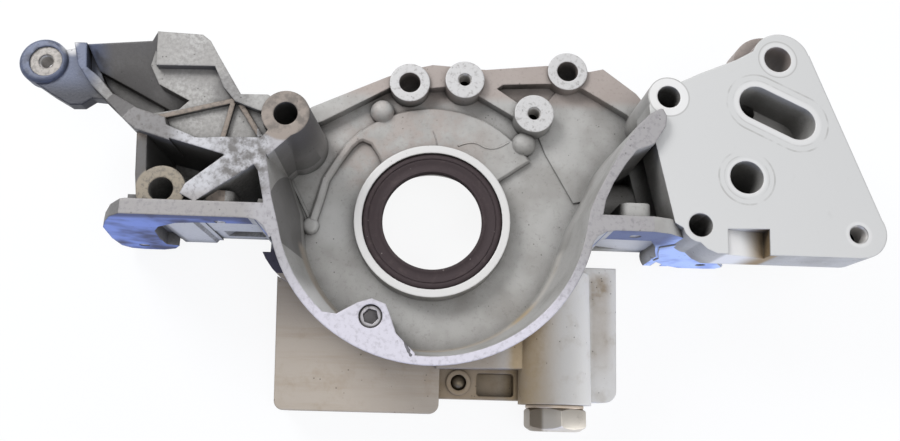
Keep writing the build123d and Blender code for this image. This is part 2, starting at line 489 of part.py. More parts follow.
def right_side():
    """Filter plate, its bosses and the ribs behind it."""
    outline = filter_outline()
    back = FILTER_PLATE_BACK - FILTER_SKIRT_DEPTH
    top_corner = (FILTER_TOP_BOLT[0] + 1.6, FILTER_TOP_BOLT[1] - 0.8)
    low_corner = (FILTER_TAPPED[0] + 0.9, FILTER_TAPPED[1] + 1.1)
    plate = prism(outline, FILTER_PLATE_BACK, FILTER_FACE_HEIGHT)
    skirt = prism(outline, back, FILTER_PLATE_BACK)
    inner = Pos(0, 0, back - ABOVE) * offset(flat(outline), -4.5)
    skirt -= extrude(inner, amount=FILTER_SKIRT_DEPTH + ABOVE, dir=(0, 0, 1))
    bosses = post(top_corner, FILTER_TOP_RADIUS, back, FILTER_FACE_HEIGHT)
    bosses += post((top_corner[0] - 4.0, top_corner[1] + 0.7), FILTER_TOP_RADIUS + 1.7, back, FILTER_PLATE_BACK)
    bosses += post(low_corner, FILTER_CORNER_RADIUS, back, FILTER_FACE_HEIGHT)
    bosses += post(GALLERY_BOLT, 9.7, 0, FILTER_FACE_HEIGHT)
    low_boss = post(FILTER_LOW_BOLT, 8.0, 0, FILTER_FACE_HEIGHT)
    below_rail = Box(60, 40, 2 * back, align=(Align.CENTER, Align.MAX, Align.CENTER))
    bosses += low_boss - Pos(FILTER_LOW_BOLT[0], PAN_RAIL_Y, 0) * below_rail
    bosses += post(FILTER_INLET, INLET_RADIUS + 5.0, DUCT_HEIGHT, FILTER_PLATE_BACK)
    bosses += slot(FILTER_SLOT_ENDS, SLOT_HALF_WIDTH + 4.5, FILTER_FACE_HEIGHT - SLOT_DEPTH - 4.0, FILTER_PLATE_BACK)
    bosses += post(RETURN_PORT, 13.0, 0, FILTER_PLATE_BACK)
    bosses += post(SLOT_DRILLING, RETURN_DUCT_BORE + 4.0, RETURN_DUCT_HEIGHT - 8.0, FILTER_PLATE_BACK)
    ribs = strip(FILTER_INLET, FILTER_TAPPED, 5.0, back + 3, FILTER_PLATE_BACK)
    ribs += strip(FILTER_INLET, FILTER_LOW_BOLT, 5.0, 0, FILTER_PLATE_BACK)
    ribs += strip(FILTER_SLOT_ENDS[1], FILTER_TOP_BOLT, 5.0, back + 3, FILTER_PLATE_BACK)
    ribs += strip(GALLERY_BOLT, RETURN_PORT, 6.0, 0, FILTER_PLATE_BACK)
    notch = prism([(131.3, -8.0), (150.2, -7.4), (149.4, -26.0), (131.0, -26.0)], FILTER_PLATE_BACK + 1.0,
                  FILTER_FACE_HEIGHT + ABOVE)
    slope = Plane(origin=(131.3, -17.0, FILTER_FACE_HEIGHT - 1.5), z_dir=(0.3, 0, 0.954))
    notch &= slope * Box(80, 80, 40, align=LOW)
    return plate + skirt + bosses + ribs - notch


def oil_tubes():
    """Cast tubes around the delivery and return drillings."""
    delivery = rod((60.0, FILTER_INLET[1], DUCT_HEIGHT), (DUCT_END_X, FILTER_INLET[1], DUCT_HEIGHT), DUCT_RADIUS)
    back = rod((RETURN_PORT[0], RETURN_PORT[1], RETURN_DUCT_HEIGHT),
               (SLOT_DRILLING[0], SLOT_DRILLING[1], RETURN_DUCT_HEIGHT), RETURN_DUCT_BORE + 4.0)
    return delivery + back


def oil_bores():
    """The drillings themselves, from the chamber to the filter face and back to the block."""
    way_y = FILTER_INLET[1]
    delivery = rod((62.0, way_y, DUCT_HEIGHT), (DUCT_END_X + ABOVE, way_y, DUCT_HEIGHT), DUCT_BORE)
    counterbore = rod((DUCT_END_X - CORE_PLUG_DEPTH - 1.0, way_y, DUCT_HEIGHT),
                      (DUCT_END_X + ABOVE, way_y, DUCT_HEIGHT), CORE_PLUG_RADIUS)
    riser = post(FILTER_INLET, INLET_RADIUS, DUCT_HEIGHT, FILTER_FACE_HEIGHT + ABOVE)
    well = prism([(38.0, way_y - 6), (38.0, way_y + 6), (69.0, way_y + 6), (69.0, way_y - 6)], CHAMBER_TOP,
                 CHAMBER_TOP + PORT_DEPTH)
    drop = prism([(60.0, way_y - 6), (60.0, way_y + 6), (69.0, way_y + 6), (69.0, way_y - 6)], DUCT_HEIGHT,
                 CHAMBER_TOP + PORT_DEPTH)
    slot_pocket = slot(FILTER_SLOT_ENDS, SLOT_HALF_WIDTH, FILTER_FACE_HEIGHT - SLOT_DEPTH, FILTER_FACE_HEIGHT + ABOVE)
    down = post(SLOT_DRILLING, RETURN_DUCT_BORE, RETURN_DUCT_HEIGHT, FILTER_FACE_HEIGHT - SLOT_DEPTH + 1.0)
    across = rod((RETURN_PORT[0], RETURN_PORT[1], RETURN_DUCT_HEIGHT),
                 (SLOT_DRILLING[0], SLOT_DRILLING[1], RETURN_DUCT_HEIGHT), RETURN_DUCT_BORE)
    out = post(RETURN_PORT, RETURN_BORE, -ABOVE, RETURN_DUCT_HEIGHT)
    groove = post(RETURN_PORT, O_RING_RADIUS + O_RING_ROOM + O_RING_SECTION / 2, -ABOVE, O_RING_SECTION + O_RING_ROOM)
    return delivery + counterbore + riser + well + drop + slot_pocket + down + across + out + groove


def lower_body():
    """The part that hangs in the sump: suction box, relief valve housing and side plate."""
    box = prism([(BOX_LEFT, BOX_BOTTOM), (BOX_LEFT - BOX_SPREAD, -27.0), (-40.0, -46.0), (BOX_RIGHT, -46.0),
                 (BOX_RIGHT, BOX_BOTTOM)], 0, BOX_HEIGHT)
    box = fillet(box.edges().filter_by(Axis.Z).sort_by(Axis.Y)[:2], 4.5)
    foot = prism([(BOX_RIGHT - 2, FOOT_BOTTOM), (BOX_RIGHT - 2, -60.0), (50.0, -46.0), (50.0, FOOT_BOTTOM)], 0, 15.0)
    foot += post(BALL_PLUG, BALL_PLUG_RADIUS + 2.2, 8.0, 16.2)
    foot -= prism([(24.4, -82.0), (24.4, -71.0), (42.5, -71.0), (42.5, -82.0)], 8.0, 15.0 + ABOVE, 1.5)
    ledge = prism([(BOX_RIGHT - 2, -69.6), (BOX_RIGHT - 2, -50.0), (60.0, -36.0), (60.0, -68.6)], 0, 25.0)
    side = prism([(58.0, -83.5), (58.0, -8.0), (95.0, -8.0), (93.4, -83.5)], 0, SIDE_PLATE_HEIGHT)
    side = fillet(side.edges().filter_by(Axis.Z).group_by(Axis.Y)[0].sort_by(Axis.X)[-1:], 6.0)
    housing = rod((RELIEF_X, RELIEF_HOUSING_END, RELIEF_Z), (RELIEF_X, -22.0, RELIEF_Z), RELIEF_HOUSING_RADIUS)
    half = RELIEF_HOUSING_RADIUS - 4.0
    saddle = prism([(RELIEF_X - half, RELIEF_HOUSING_END + 2), (RELIEF_X - half, -30.0), (RELIEF_X + half, -30.0),
                    (RELIEF_X + half, RELIEF_HOUSING_END + 2)], 0, RELIEF_Z)
    flare = prism([(RELIEF_X - 19.5, RELIEF_HOUSING_END + 2), (RELIEF_X - 15.5, -40.0), (RELIEF_X + 15.5, -40.0),
                   (RELIEF_X + 19.5, RELIEF_HOUSING_END + 2)], 0, 7.0)
    return box + foot + ledge + side + housing + saddle + flare


def relief_bores():
    """Plunger bore, its thread, the way up to the delivery side and the spill hole."""
    bore = rod((RELIEF_X, RELIEF_HOUSING_END - ABOVE, RELIEF_Z), (RELIEF_X, RELIEF_SEAT_Y, RELIEF_Z), RELIEF_BORE / 2)
    thread = rod((RELIEF_X, RELIEF_HOUSING_END - ABOVE, RELIEF_Z), (RELIEF_X, PLUG_TOP_Y + 1.0, RELIEF_Z),
                 PLUG_THREAD / 2 + THREAD_GAP)
    up = rod((RELIEF_X, RELIEF_SEAT_Y - 1.0, RELIEF_Z - 3), (RELIEF_X, FILTER_INLET[1], RELIEF_Z - 3), 4.5)
    spill_y = RELIEF_SEAT_Y - 8.0
    spill = rod((RELIEF_X, spill_y, -ABOVE), (RELIEF_X, spill_y, RELIEF_Z), RELIEF_SPILL_BORE / 2)
    return bore + thread + up + spill


def suction_way():
    """Hollow of the suction box, its mouth for the pickup pipe and the way to the chamber."""
    left = BOX_LEFT + BOX_WALL
    right = BOX_RIGHT - BOX_WALL
    low = BOX_BOTTOM + BOX_WALL
    hollow = prism([(left, low), (left, -62.0), (-34.0, -54.0), (right, -54.0), (right, low)], BOX_WALL,
                   BOX_HEIGHT - BOX_WALL, 3.0)
    mouth = post(PICKUP_PORT, PICKUP_BORE, -ABOVE, BOX_WALL + 2)
    rise = prism([(-38.0, -60.0), (-38.0, -26.0), (-24.0, -26.0), (-24.0, -60.0)], BOX_HEIGHT - BOX_WALL - 8, 16.0)
    step = prism([(-38.0, -52.0), (-38.0, -26.0), (-24.0, -26.0), (-24.0, -52.0)], 12.0, CHAMBER_TOP + PORT_DEPTH)
    taps = []
    for side in (-1, 1):
        taps.append(post((PICKUP_PORT[0] + side * PICKUP_TAP_SPREAD, PICKUP_PORT[1]), M8_TAP, -ABOVE, BOX_WALL))
    return hollow, mouth, rise, step, taps


def kidney(side):
    """One kidney port in the chamber's end wall; side is -1 for suction, 1 for delivery."""
    inner = OUTER_TOOTH_CIRCLE - OUTER_TOOTH_RADIUS - 2.2
    outer = OUTER_TOOTH_CIRCLE - 0.6
    ring = post((0, 0), outer, CHAMBER_TOP, CHAMBER_TOP + PORT_DEPTH)
    ring -= post((0, 0), inner, CHAMBER_TOP - 1, CHAMBER_TOP + PORT_DEPTH + 1)
    half = prism([(side * 9.0, -60.0), (side * 9.0, 60.0), (side * 60.0, 60.0), (side * 60.0, -60.0)],
                 CHAMBER_TOP, CHAMBER_TOP + PORT_DEPTH)
    return ring & half


def rear_hollows():
    """Hollows cast in the back between the chamber and the joint face."""
    upper_left = [(-60.5, 22.8), (-55.5, 33.6), (-44.5, 46.8), (-30.0, 56.5), (-27.0, 64.0), (-52.0, 52.0), (-55.0, 44.0)]
    bracket_side = [(-121.0, 15.0), (-123.0, 22.0), (-99.0, 17.0), (-84.0, 15.0), (-82.0, 9.0), (-98.0, 3.0),
                    (-107.0, 9.0)]
    upper_right = [(54.0, 37.5), (60.0, 48.0), (62.0, 62.0), (58.0, 69.0), (76.0, 67.0), (92.0, 58.0), (95.0, 44.0),
                   (80.0, 31.0), (60.0, 27.0)]
    return [prism(points, -ABOVE, HOLLOW_HEIGHT) for points in (upper_left, bracket_side, upper_right)]


def front_pockets():
    """Deep pockets behind the ribs: two on the left, one beside the filter plate."""
    upper = [(-126.5, 10.0), (-128.0, 24.4), (-93.0, 16.0), (-108.5, 2.6), (-112.0, 10.0), (-119.0, 12.6)]
    lower = [(-104.0, WING_TOP_Y), (-79.4, 12.4), (-76.5, 4.0), (-77.8, WING_TOP_Y)]
    right = [(76.6, WING_TOP_Y), (79.9, 5.2), (85.0, 15.2), (91.6, 25.8), (99.4, 29.9), (107.0, WING_TOP_Y)]
    return [prism(upper, FLOOR_HEIGHT, CASE_DEPTH + ABOVE), prism(lower, POCKET_FLOOR, CASE_DEPTH + ABOVE),
            prism(right, POCKET_FLOOR, CASE_DEPTH + ABOVE)]


def bowl_lobe():
    """Lobe on the lower left of the rim that carries the gallery plug."""
    outline = [(-52.0, -50.0), (-39.6, -51.5), (-31.0, -46.5), (-25.0, -44.6), (-19.0, -46.8), (-16.8, -52.0),
               (-14.2, -59.0), (-6.0, -67.0), (-6.0, -70.0), (-30.0, -64.5), (-45.0, -54.5)]
    return prism(outline, FLOOR_HEIGHT - ABOVE, CASE_DEPTH) & arch_body()


def low_bosses():
    """Bolt bosses, tapped bosses and the two ball-ended lumps along the top."""
    shapes = [post(place, LOW_BOSS_RADIUS, 0, BOLT_BOSS_HEIGHT) for place in (TOP_LEFT_BOLT, TOP_RIGHT_BOLT)]
    shapes += [post(place, TAPPED_BOSS_RADIUS, 0, TAPPED_BOSS_HEIGHT, 1.5) for place in (TOP_TAPPED, INNER_TAPPED)]
    for place in (LEFT_DOME, RIGHT_DOME):
        dome = post(place, DOME_RADIUS, FLOOR_HEIGHT - ABOVE, FLOOR_HEIGHT + DOME_RADIUS + 1.0)
        shapes.append(fillet(dome.edges().group_by(Axis.Z)[-1], DOME_RADIUS - 0.6))
    shapes.append(post(TALL_BOLT, TALL_BOSS_RADIUS, FLOOR_HEIGHT, CASE_DEPTH, DRAFT))
    shapes.append(post((0, 0), SEAL_BOSS_RADIUS, FLOOR_HEIGHT - ABOVE, SEAL_FACE_HEIGHT, 2.0))
    return shapes


def bolt_holes():
    """Every bolt hole, tapped hole and dowel hole of the case."""
    holes = []
    for place, top in ((TALL_BOLT, CASE_DEPTH), (TOP_LEFT_BOLT, BOLT_BOSS_HEIGHT), (TOP_RIGHT_BOLT, BOLT_BOSS_HEIGHT),
                       (GALLERY_BOLT, FILTER_FACE_HEIGHT), (FILTER_LOW_BOLT, CASE_DEPTH), (LEFT_BOLT, LEFT_BOSS_HEIGHT)):
        holes.append(post(place, BLOCK_BOLT_HOLE, -ABOVE, top + ABOVE))
    holes.append(post(FILTER_TOP_BOLT, FILTER_BOLT_HOLE, 0, FILTER_FACE_HEIGHT + ABOVE))
    for place in (TOP_TAPPED, INNER_TAPPED):
        holes.append(post(place, M8_TAP, TAPPED_BOSS_HEIGHT - TAP_DEPTH, TAPPED_BOSS_HEIGHT + ABOVE))
    holes.append(post(ARM_HOLE, M8_TAP, ARM_BACK - ABOVE, ARM_HEAD_HEIGHT + ABOVE))
    holes.append(post(FILTER_TAPPED, M10_TAP, FILTER_FACE_HEIGHT - TAP_DEPTH, FILTER_FACE_HEIGHT + ABOVE))
    for x, z in PAN_FRONT_TAPS + PAN_REAR_TAPS:
        holes.append(rod((x, PAN_RAIL_Y - ABOVE, z), (x, PAN_RAIL_Y + SMALL_TAP_DEPTH, z), M6_TAP))
    return holes


def pump_bores():
    """Cover seat, rotor chamber, crank passage and seal bore."""
    centre = (0, ECCENTRICITY)
    shapes = [post(centre, COVER_RADIUS + COVER_ROOM, -ABOVE, COVER_SEAT),
              post(centre, CHAMBER_RADIUS, COVER_SEAT - 1, CHAMBER_TOP),
              post((0, 0), CRANK_PASSAGE / 2, 0, SEAL_FACE_HEIGHT),
              post((0, 0), SEAL_OD / 2 + 0.02, SEAL_BACK, SEAL_FACE_HEIGHT + ABOVE),
              kidney(-1), kidney(1)]
    for x, y in cover_screw_places():
        top = COVER_INSET + COVER_SCREW_LENGTH + 1.0
        shapes.append(post((x, y), COVER_SCREW_DIAMETER / 2 + THREAD_GAP, 0, top))
    for x, y in dowel_places():
        shapes.append(post((x, y), DOWEL_DIAMETER / 2 + THREAD_GAP, 0, COVER_INSET + DOWEL_LENGTH + 0.5))
    return shapes


def cover_screw_places():
    """Centres of the cover screws, evenly round the chamber."""
    step = 2 * pi / COVER_SCREW_COUNT
    return [(COVER_SCREW_CIRCLE * cos((i + 0.5) * step), ECCENTRICITY + COVER_SCREW_CIRCLE * sin((i + 0.5) * step))
            for i in range(COVER_SCREW_COUNT)]


def dowel_places():
    """Centres of the two dowels that place the cover."""
    return [(COVER_SCREW_CIRCLE * cos(turn), ECCENTRICITY + COVER_SCREW_CIRCLE * sin(turn))
            for turn in (radians(90), radians(180))]


def plug_bores():
    """Tapped hole under the bowl plug, and the drilling that the ball closes."""
    plug = post(BOWL_PLUG, BOWL_PLUG_THREAD / 2 + THREAD_GAP, CASE_DEPTH - BOWL_PLUG_LENGTH - 1.0, CASE_DEPTH + ABOVE)
    drill = post(BOWL_PLUG, 3.0, 30.0, CASE_DEPTH - BOWL_PLUG_LENGTH)
    ball = post(BALL_PLUG, BALL_PLUG_RADIUS, 8.0, 16.0 + ABOVE)
    return [plug, drill, ball]


def front_case():
    """The die casting: one solid."""
    wing_body, wing_hollow = wings()
    case = floor_plate() + arch_and_walls() + wing_body + lower_body() - wing_hollow - bowl_void()
    case += top_wall() + bowl_band() + side_floor()
    case += chamber_housing() + chamber_land()
    for pocket in front_pockets():
        case -= pocket
    case += left_box() + pan_bosses()
    case += bracket() + bracket_arm() + arm_panel()
    case += right_side() + oil_tubes()
    case += bowl_lobe()
    for shape in low_bosses():
        case += shape
    for hollow in rear_hollows():
        case -= hollow
    hollow, mouth, rise, step, taps = suction_way()
    case -= [hollow, mouth, rise, step, *taps]
    case -= oil_bores()
    case -= relief_bores()
    case -= pump_bores()
    case -= bolt_holes()
    case -= plug_bores()
    return case


def rotor_curve(offset_in):
    """Points of the inner rotor's flank: the envelope of the outer rotor's round teeth."""
    points = []
    steps = 2 * ARCS_PER_LOBE * INNER_TEETH
    radius = OUTER_TOOTH_CIRCLE
    turn = pi / 2 / INNER_TEETH
    for i in range(steps):
        t = 2 * pi * i / steps
        k = OUTER_TEETH
        x = radius * cos(t) - ECCENTRICITY * cos(k * t)
        y = radius * sin(t) - ECCENTRICITY * sin(k * t)
        dx = -radius * sin(t) + ECCENTRICITY * k * sin(k * t)
        dy = radius * cos(t) - ECCENTRICITY * k * cos(k * t)
        length = hypot(dx, dy)
        reach = OUTER_TOOTH_RADIUS + offset_in
        px = x - reach * dy / length
        py = y + reach * dx / length
        points.append((px * cos(turn) - py * sin(turn), px * sin(turn) + py * cos(turn)))
    return points


def inner_rotor():
    """Driven rotor, with a bore that has two flats for the crank."""
    points = rotor_curve(TOOTH_CLEARANCE)
    arcs = [ThreePointArc(points[i], points[i + 1], points[(i + 2) % len(points)]) for i in range(0, len(points), 2)]
    low = COVER_SEAT + ROTOR_AXIAL_GAP
    body = extrude(Pos(0, 0, low) * make_face(arcs), amount=ROTOR_WIDTH, dir=(0, 0, 1))
    bore = post((0, 0), DRIVE_BORE / 2, low - 1, low + ROTOR_WIDTH + 1)
    across = Rot(0, 0, DRIVE_FLAT_ANGLE) * Pos(0, 0, low - 1) * Box(DRIVE_FLATS, 80, ROTOR_WIDTH + 2, align=LOW)
    return body - (bore & across)


def outer_rotor():
    """Ring with round inner teeth, one more than the inner rotor has."""
    low = COVER_SEAT + ROTOR_AXIAL_GAP
    ring = post((0, ECCENTRICITY), OUTER_ROTOR_OD / 2, low, low + ROTOR_WIDTH)
    ring -= post((0, ECCENTRICITY), OUTER_ROOT, low - 1, low + ROTOR_WIDTH + 1)
    for i in range(OUTER_TEETH):
        turn = 2 * pi * (i + 0.5) / OUTER_TEETH + pi / 2
        place = (OUTER_TOOTH_CIRCLE * cos(turn), ECCENTRICITY + OUTER_TOOTH_CIRCLE * sin(turn))
        tooth = post(place, OUTER_TOOTH_RADIUS, low, low + ROTOR_WIDTH)
        ring += tooth & post((0, ECCENTRICITY), OUTER_ROOT + 1.0, low, low + ROTOR_WIDTH)
    return ring


def pump_cover():
    """Flat plate over the chamber, countersunk for its screws."""
    plate = post((0, ECCENTRICITY), COVER_RADIUS, COVER_INSET, COVER_SEAT)
    plate -= post((0, 0), COVER_BORE / 2, 0, COVER_SEAT + 1)
    head = (COVER_SCREW_HEAD - COVER_SCREW_DIAMETER) / 2
    for x, y in cover_screw_places():
        plate -= post((x, y), COVER_SCREW_DIAMETER / 2 + THREAD_GAP, 0, COVER_SEAT + 1)
        sink = Cone(COVER_SCREW_HEAD / 2 + THREAD_GAP, COVER_SCREW_DIAMETER / 2 + THREAD_GAP, head, align=LOW)
        plate -= Pos(x, y, COVER_INSET) * sink
    for x, y in dowel_places():
        plate -= post((x, y), DOWEL_DIAMETER / 2 + THREAD_GAP, 0, COVER_SEAT + 1)
    return plate


def cover_screws():
    """Countersunk screws, one solid each, with a plain cross slot."""
    head = (COVER_SCREW_HEAD - COVER_SCREW_DIAMETER) / 2
    screws = []
    for x, y in cover_screw_places():
        shank = post((x, y), COVER_SCREW_DIAMETER / 2, COVER_INSET, COVER_INSET + COVER_SCREW_LENGTH)
        cone = Cone(COVER_SCREW_HEAD / 2, COVER_SCREW_DIAMETER / 2, head, align=LOW)
        screw = shank + Pos(x, y, COVER_INSET) * cone
        for turn in (0, 90):
            screw -= Pos(x, y, COVER_INSET) * Rot(0, 0, turn) * Box(4.4, 1.0, 3.0)
        screws.append(screw)
    return Compound(children=screws)


def cover_dowels():
    """Two dowels between cover and case."""
    return Compound(children=[post(place, DOWEL_DIAMETER / 2, COVER_INSET, COVER_INSET + DOWEL_LENGTH)
                              for place in dowel_places()])


def ring_of(profile):
    """Solid of revolution about the crank axis from a section given as radius and height."""
    face = make_face(Polyline(*[(r, 0, z) for r, z in profile], close=True))
    return revolve(face, axis=Axis.Z, revolution_arc=360)


def crank_seal_rubber():
    """Rubber body of the crank seal, with its outer cover, front face and lip."""
    outer = SEAL_OD / 2
    lip = SEAL_LIP / 2
    inner_wall = outer - 2.2 - SEAL_STEEL
    profile = [(outer, SEAL_BACK + 0.4), (outer, SEAL_FRONT - 0.8), (outer - 0.8, SEAL_FRONT),
               (outer - 2.6, SEAL_FRONT), (outer - 3.0, SEAL_FRONT - 0.5), (outer - 3.4, SEAL_FRONT - 0.1),
               (lip + 1.8, SEAL_FRONT - 0.4), (lip + 0.2, SEAL_FRONT - 0.2), (lip, SEAL_FRONT - 1.2),
               (lip, SEAL_FRONT - 4.2), (lip + 0.8, SEAL_FRONT - 6.0), (lip + 1.6, SEAL_FRONT - 6.4),
               (lip + 2.2, SEAL_FRONT - 5.0), (lip + 2.0, SEAL_FRONT - 2.6), (inner_wall, SEAL_FRONT - 2.4),
               (inner_wall, SEAL_FRONT - 1.6), (outer - 1.0, SEAL_FRONT - 1.6), (outer - 1.0, SEAL_BACK + 0.4)]
    return ring_of(profile)


def crank_seal_case():
    """Pressed steel ring inside the seal, open at the back."""
    outer = SEAL_OD / 2 - 1.05
    front = SEAL_FRONT - 1.65
    profile = [(outer, SEAL_BACK + 0.1), (outer, front), (outer - 2.1, front), (outer - 2.1, front - 0.7),
               (outer - SEAL_STEEL, front - 0.7), (outer - SEAL_STEEL, SEAL_BACK + 0.1)]
    return ring_of(profile)


def crank_seal_spring():
    """Garter spring that presses the lip on the crank."""
    section = Pos(SEAL_LIP / 2 + 2.95, 0, SEAL_FRONT - 5.0) * Rot(90, 0, 0) * Circle(GARTER_WIRE / 2)
    return revolve(section, axis=Axis.Z, revolution_arc=360)


def relief_plunger():
    """Hollow plunger, its crown on the seat and its skirt open towards the spring."""
    outer = RELIEF_BORE / 2 - PLUNGER_GAP
    body = rod((RELIEF_X, PLUNGER_FOOT_Y, RELIEF_Z), (RELIEF_X, RELIEF_SEAT_Y, RELIEF_Z), outer)
    body -= rod((RELIEF_X, PLUNGER_FOOT_Y - 1, RELIEF_Z), (RELIEF_X, RELIEF_SEAT_Y - PLUNGER_CROWN, RELIEF_Z),
                outer - PLUNGER_WALL)
    for y in (RELIEF_SEAT_Y - 9.0, RELIEF_SEAT_Y - 13.0):
        groove = rod((RELIEF_X, y - 0.6, RELIEF_Z), (RELIEF_X, y + 0.6, RELIEF_Z), outer + 1)
        groove -= rod((RELIEF_X, y - 1, RELIEF_Z), (RELIEF_X, y + 1, RELIEF_Z), outer - 0.6)
        body -= groove
    return body


def relief_spring():
    """Coil spring from the plug up into the plunger."""
    foot = PLUG_TOP_Y + SPRING_WIRE / 2 + 0.02
    head = RELIEF_SEAT_Y - PLUNGER_CROWN - SPRING_WIRE / 2 - 0.02
    length = head - foot
    radius = (SPRING_DIAMETER - SPRING_WIRE) / 2
    path = Helix(pitch=length / SPRING_TURNS, height=length, radius=radius)
    section = Plane(origin=path @ 0, z_dir=path % 0) * RegularPolygon(SPRING_WIRE / 2, SPRING_SIDES)
    coil = sweep(section, path=path)
    return Pos(RELIEF_X, foot, RELIEF_Z) * Rot(-90, 0, 0) * coil


def relief_plug():
    """Hexagon-headed plug that closes the relief bore and carries the spring."""
    gasket_end = RELIEF_HOUSING_END - GASKET_THICKNESS
    head_end = gasket_end - PLUG_HEX_HEIGHT
    thread = rod((RELIEF_X, gasket_end, RELIEF_Z), (RELIEF_X, PLUG_TOP_Y, RELIEF_Z), PLUG_THREAD / 2)
    hexagon = Plane(origin=(RELIEF_X, head_end, RELIEF_Z), x_dir=(1, 0, 0), z_dir=(0, 1, 0)) * Rot(
        0, 0, PLUG_TURN) * RegularPolygon(PLUG_HEX / 2, 6, major_radius=False)
    head = extrude(hexagon, amount=PLUG_HEX_HEIGHT)
    dish = rod((RELIEF_X, head_end, RELIEF_Z), (RELIEF_X, gasket_end, RELIEF_Z), PLUG_HEX / 2 + 1.8)
    crown = Plane(origin=(RELIEF_X, head_end, RELIEF_Z), z_dir=(0, 1, 0)) * Cone(
        PLUG_HEX / 2 + 0.8, PLUG_HEX / 2 + 4.8, 2.0, align=LOW)
    rest = rod((RELIEF_X, head_end + 2.0, RELIEF_Z), (RELIEF_X, gasket_end, RELIEF_Z), PLUG_HEX)
    return thread + (head & dish & (crown + rest))


def relief_plug_gasket():
    """Copper washer under the plug."""
    ring = rod((RELIEF_X, RELIEF_HOUSING_END - GASKET_THICKNESS, RELIEF_Z), (RELIEF_X, RELIEF_HOUSING_END, RELIEF_Z),
               GASKET_OD / 2)
    return ring - rod((RELIEF_X, RELIEF_HOUSING_END - 4, RELIEF_Z), (RELIEF_X, RELIEF_HOUSING_END + 1, RELIEF_Z),
                      PLUG_THREAD / 2 + 0.2)


def bowl_plug():
    """Socket plug in the lobe of the rim."""
    foot = CASE_DEPTH - BOWL_PLUG_LENGTH
    body = post(BOWL_PLUG, BOWL_PLUG_THREAD / 2, foot, CASE_DEPTH - 0.8)
    socket = Pos(BOWL_PLUG[0], BOWL_PLUG[1], CASE_DEPTH - 6.0) * Rot(0, 0, 15) * extrude(
        RegularPolygon(BOWL_PLUG_HEX / 2, 6, major_radius=False), amount=8)
    return body - socket


def gallery_ball_plug():
    """Ball pressed into the end of a drilling on the lower body."""
    ball = Pos(BALL_PLUG[0], BALL_PLUG[1], 13.0) * Sphere(BALL_PLUG_RADIUS - 0.05)
    return ball


def delivery_core_plug():
    """Cup plug in the outer end of the delivery drilling."""
    start = (DUCT_END_X - CORE_PLUG_DEPTH - 1.0, FILTER_INLET[1], DUCT_HEIGHT)
    end = (DUCT_END_X - 1.0, FILTER_INLET[1], DUCT_HEIGHT)
    cup = rod(start, end, CORE_PLUG_RADIUS - 0.03)
    inside = rod((start[0] + CORE_PLUG_WALL, start[1], start[2]), (end[0] + 1, end[1], end[2]),
                 CORE_PLUG_RADIUS - CORE_PLUG_WALL)
    return cup - inside


def gallery_o_ring():
    """O-ring round the return port in the block face."""
    section = Pos(O_RING_RADIUS, 0, O_RING_SECTION / 2) * Rot(90, 0, 0) * Circle(O_RING_SECTION / 2)
    return Pos(RETURN_PORT[0], RETURN_PORT[1], 0) * revolve(section, axis=Axis.Z, revolution_arc=360)


PARTS = {
    "front_case": front_case,
    "crank_seal_rubber": crank_seal_rubber,
    "crank_seal_case": crank_seal_case,
    "crank_seal_spring": crank_seal_spring,
    "inner_rotor": inner_rotor,
    "outer_rotor": outer_rotor,
    "pump_cover": pump_cover,
    "cover_screws": cover_screws,
    "cover_dowels": cover_dowels,
    "relief_plunger": relief_plunger,
    "relief_spring": relief_spring,
    "relief_plug": relief_plug,
    "relief_plug_gasket": relief_plug_gasket,
    "bowl_plug": bowl_plug,
    "gallery_ball_plug": gallery_ball_plug,
    "delivery_core_plug": delivery_core_plug,
    "gallery_o_ring": gallery_o_ring,
}

for node, build in PARTS.items():
    export_step(build(), f"parts/{node}.step")
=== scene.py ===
"""Looks of an engine oil pump that is built into the front case of an engine.

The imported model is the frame. +Z points to the front of the engine, +Y is up and the origin is on
the crank axis at the block face. Blender's lengths are in metres. Where sizes are given in
millimetres, the docstring says so.
"""

from __future__ import annotations

import logging
import math
from dataclasses import dataclass
from enum import Enum
from typing import Iterable, Sequence

import bpy
from mathutils import Matrix, Vector

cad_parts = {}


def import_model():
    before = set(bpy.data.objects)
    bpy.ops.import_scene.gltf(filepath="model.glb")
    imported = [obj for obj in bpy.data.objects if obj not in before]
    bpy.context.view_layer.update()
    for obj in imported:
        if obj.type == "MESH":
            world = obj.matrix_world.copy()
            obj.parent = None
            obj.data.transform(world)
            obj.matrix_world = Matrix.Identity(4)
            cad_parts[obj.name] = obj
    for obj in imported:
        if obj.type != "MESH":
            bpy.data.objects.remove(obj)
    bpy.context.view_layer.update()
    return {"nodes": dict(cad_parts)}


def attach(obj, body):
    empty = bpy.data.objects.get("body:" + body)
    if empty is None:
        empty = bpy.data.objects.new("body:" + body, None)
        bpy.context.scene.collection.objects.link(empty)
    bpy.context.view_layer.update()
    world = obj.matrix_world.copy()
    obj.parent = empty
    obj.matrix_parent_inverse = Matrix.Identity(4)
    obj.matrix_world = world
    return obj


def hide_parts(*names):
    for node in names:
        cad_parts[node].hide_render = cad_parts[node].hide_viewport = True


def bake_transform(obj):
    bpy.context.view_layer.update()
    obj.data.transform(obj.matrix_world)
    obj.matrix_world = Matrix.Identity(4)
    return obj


LOG = logging.getLogger("oil_pump")
MM = 0.001
# How near a face has to be to a plane to count as lying on it.
FLAT = 0.2 * MM
# Corners of a new piece, and of a node of the frame, that are nearer than these are joined.
SAME_POINT = 0.01 * MM
SAME_CORNER = 0.002 * MM
WHITE = (1.0, 1.0, 1.0)
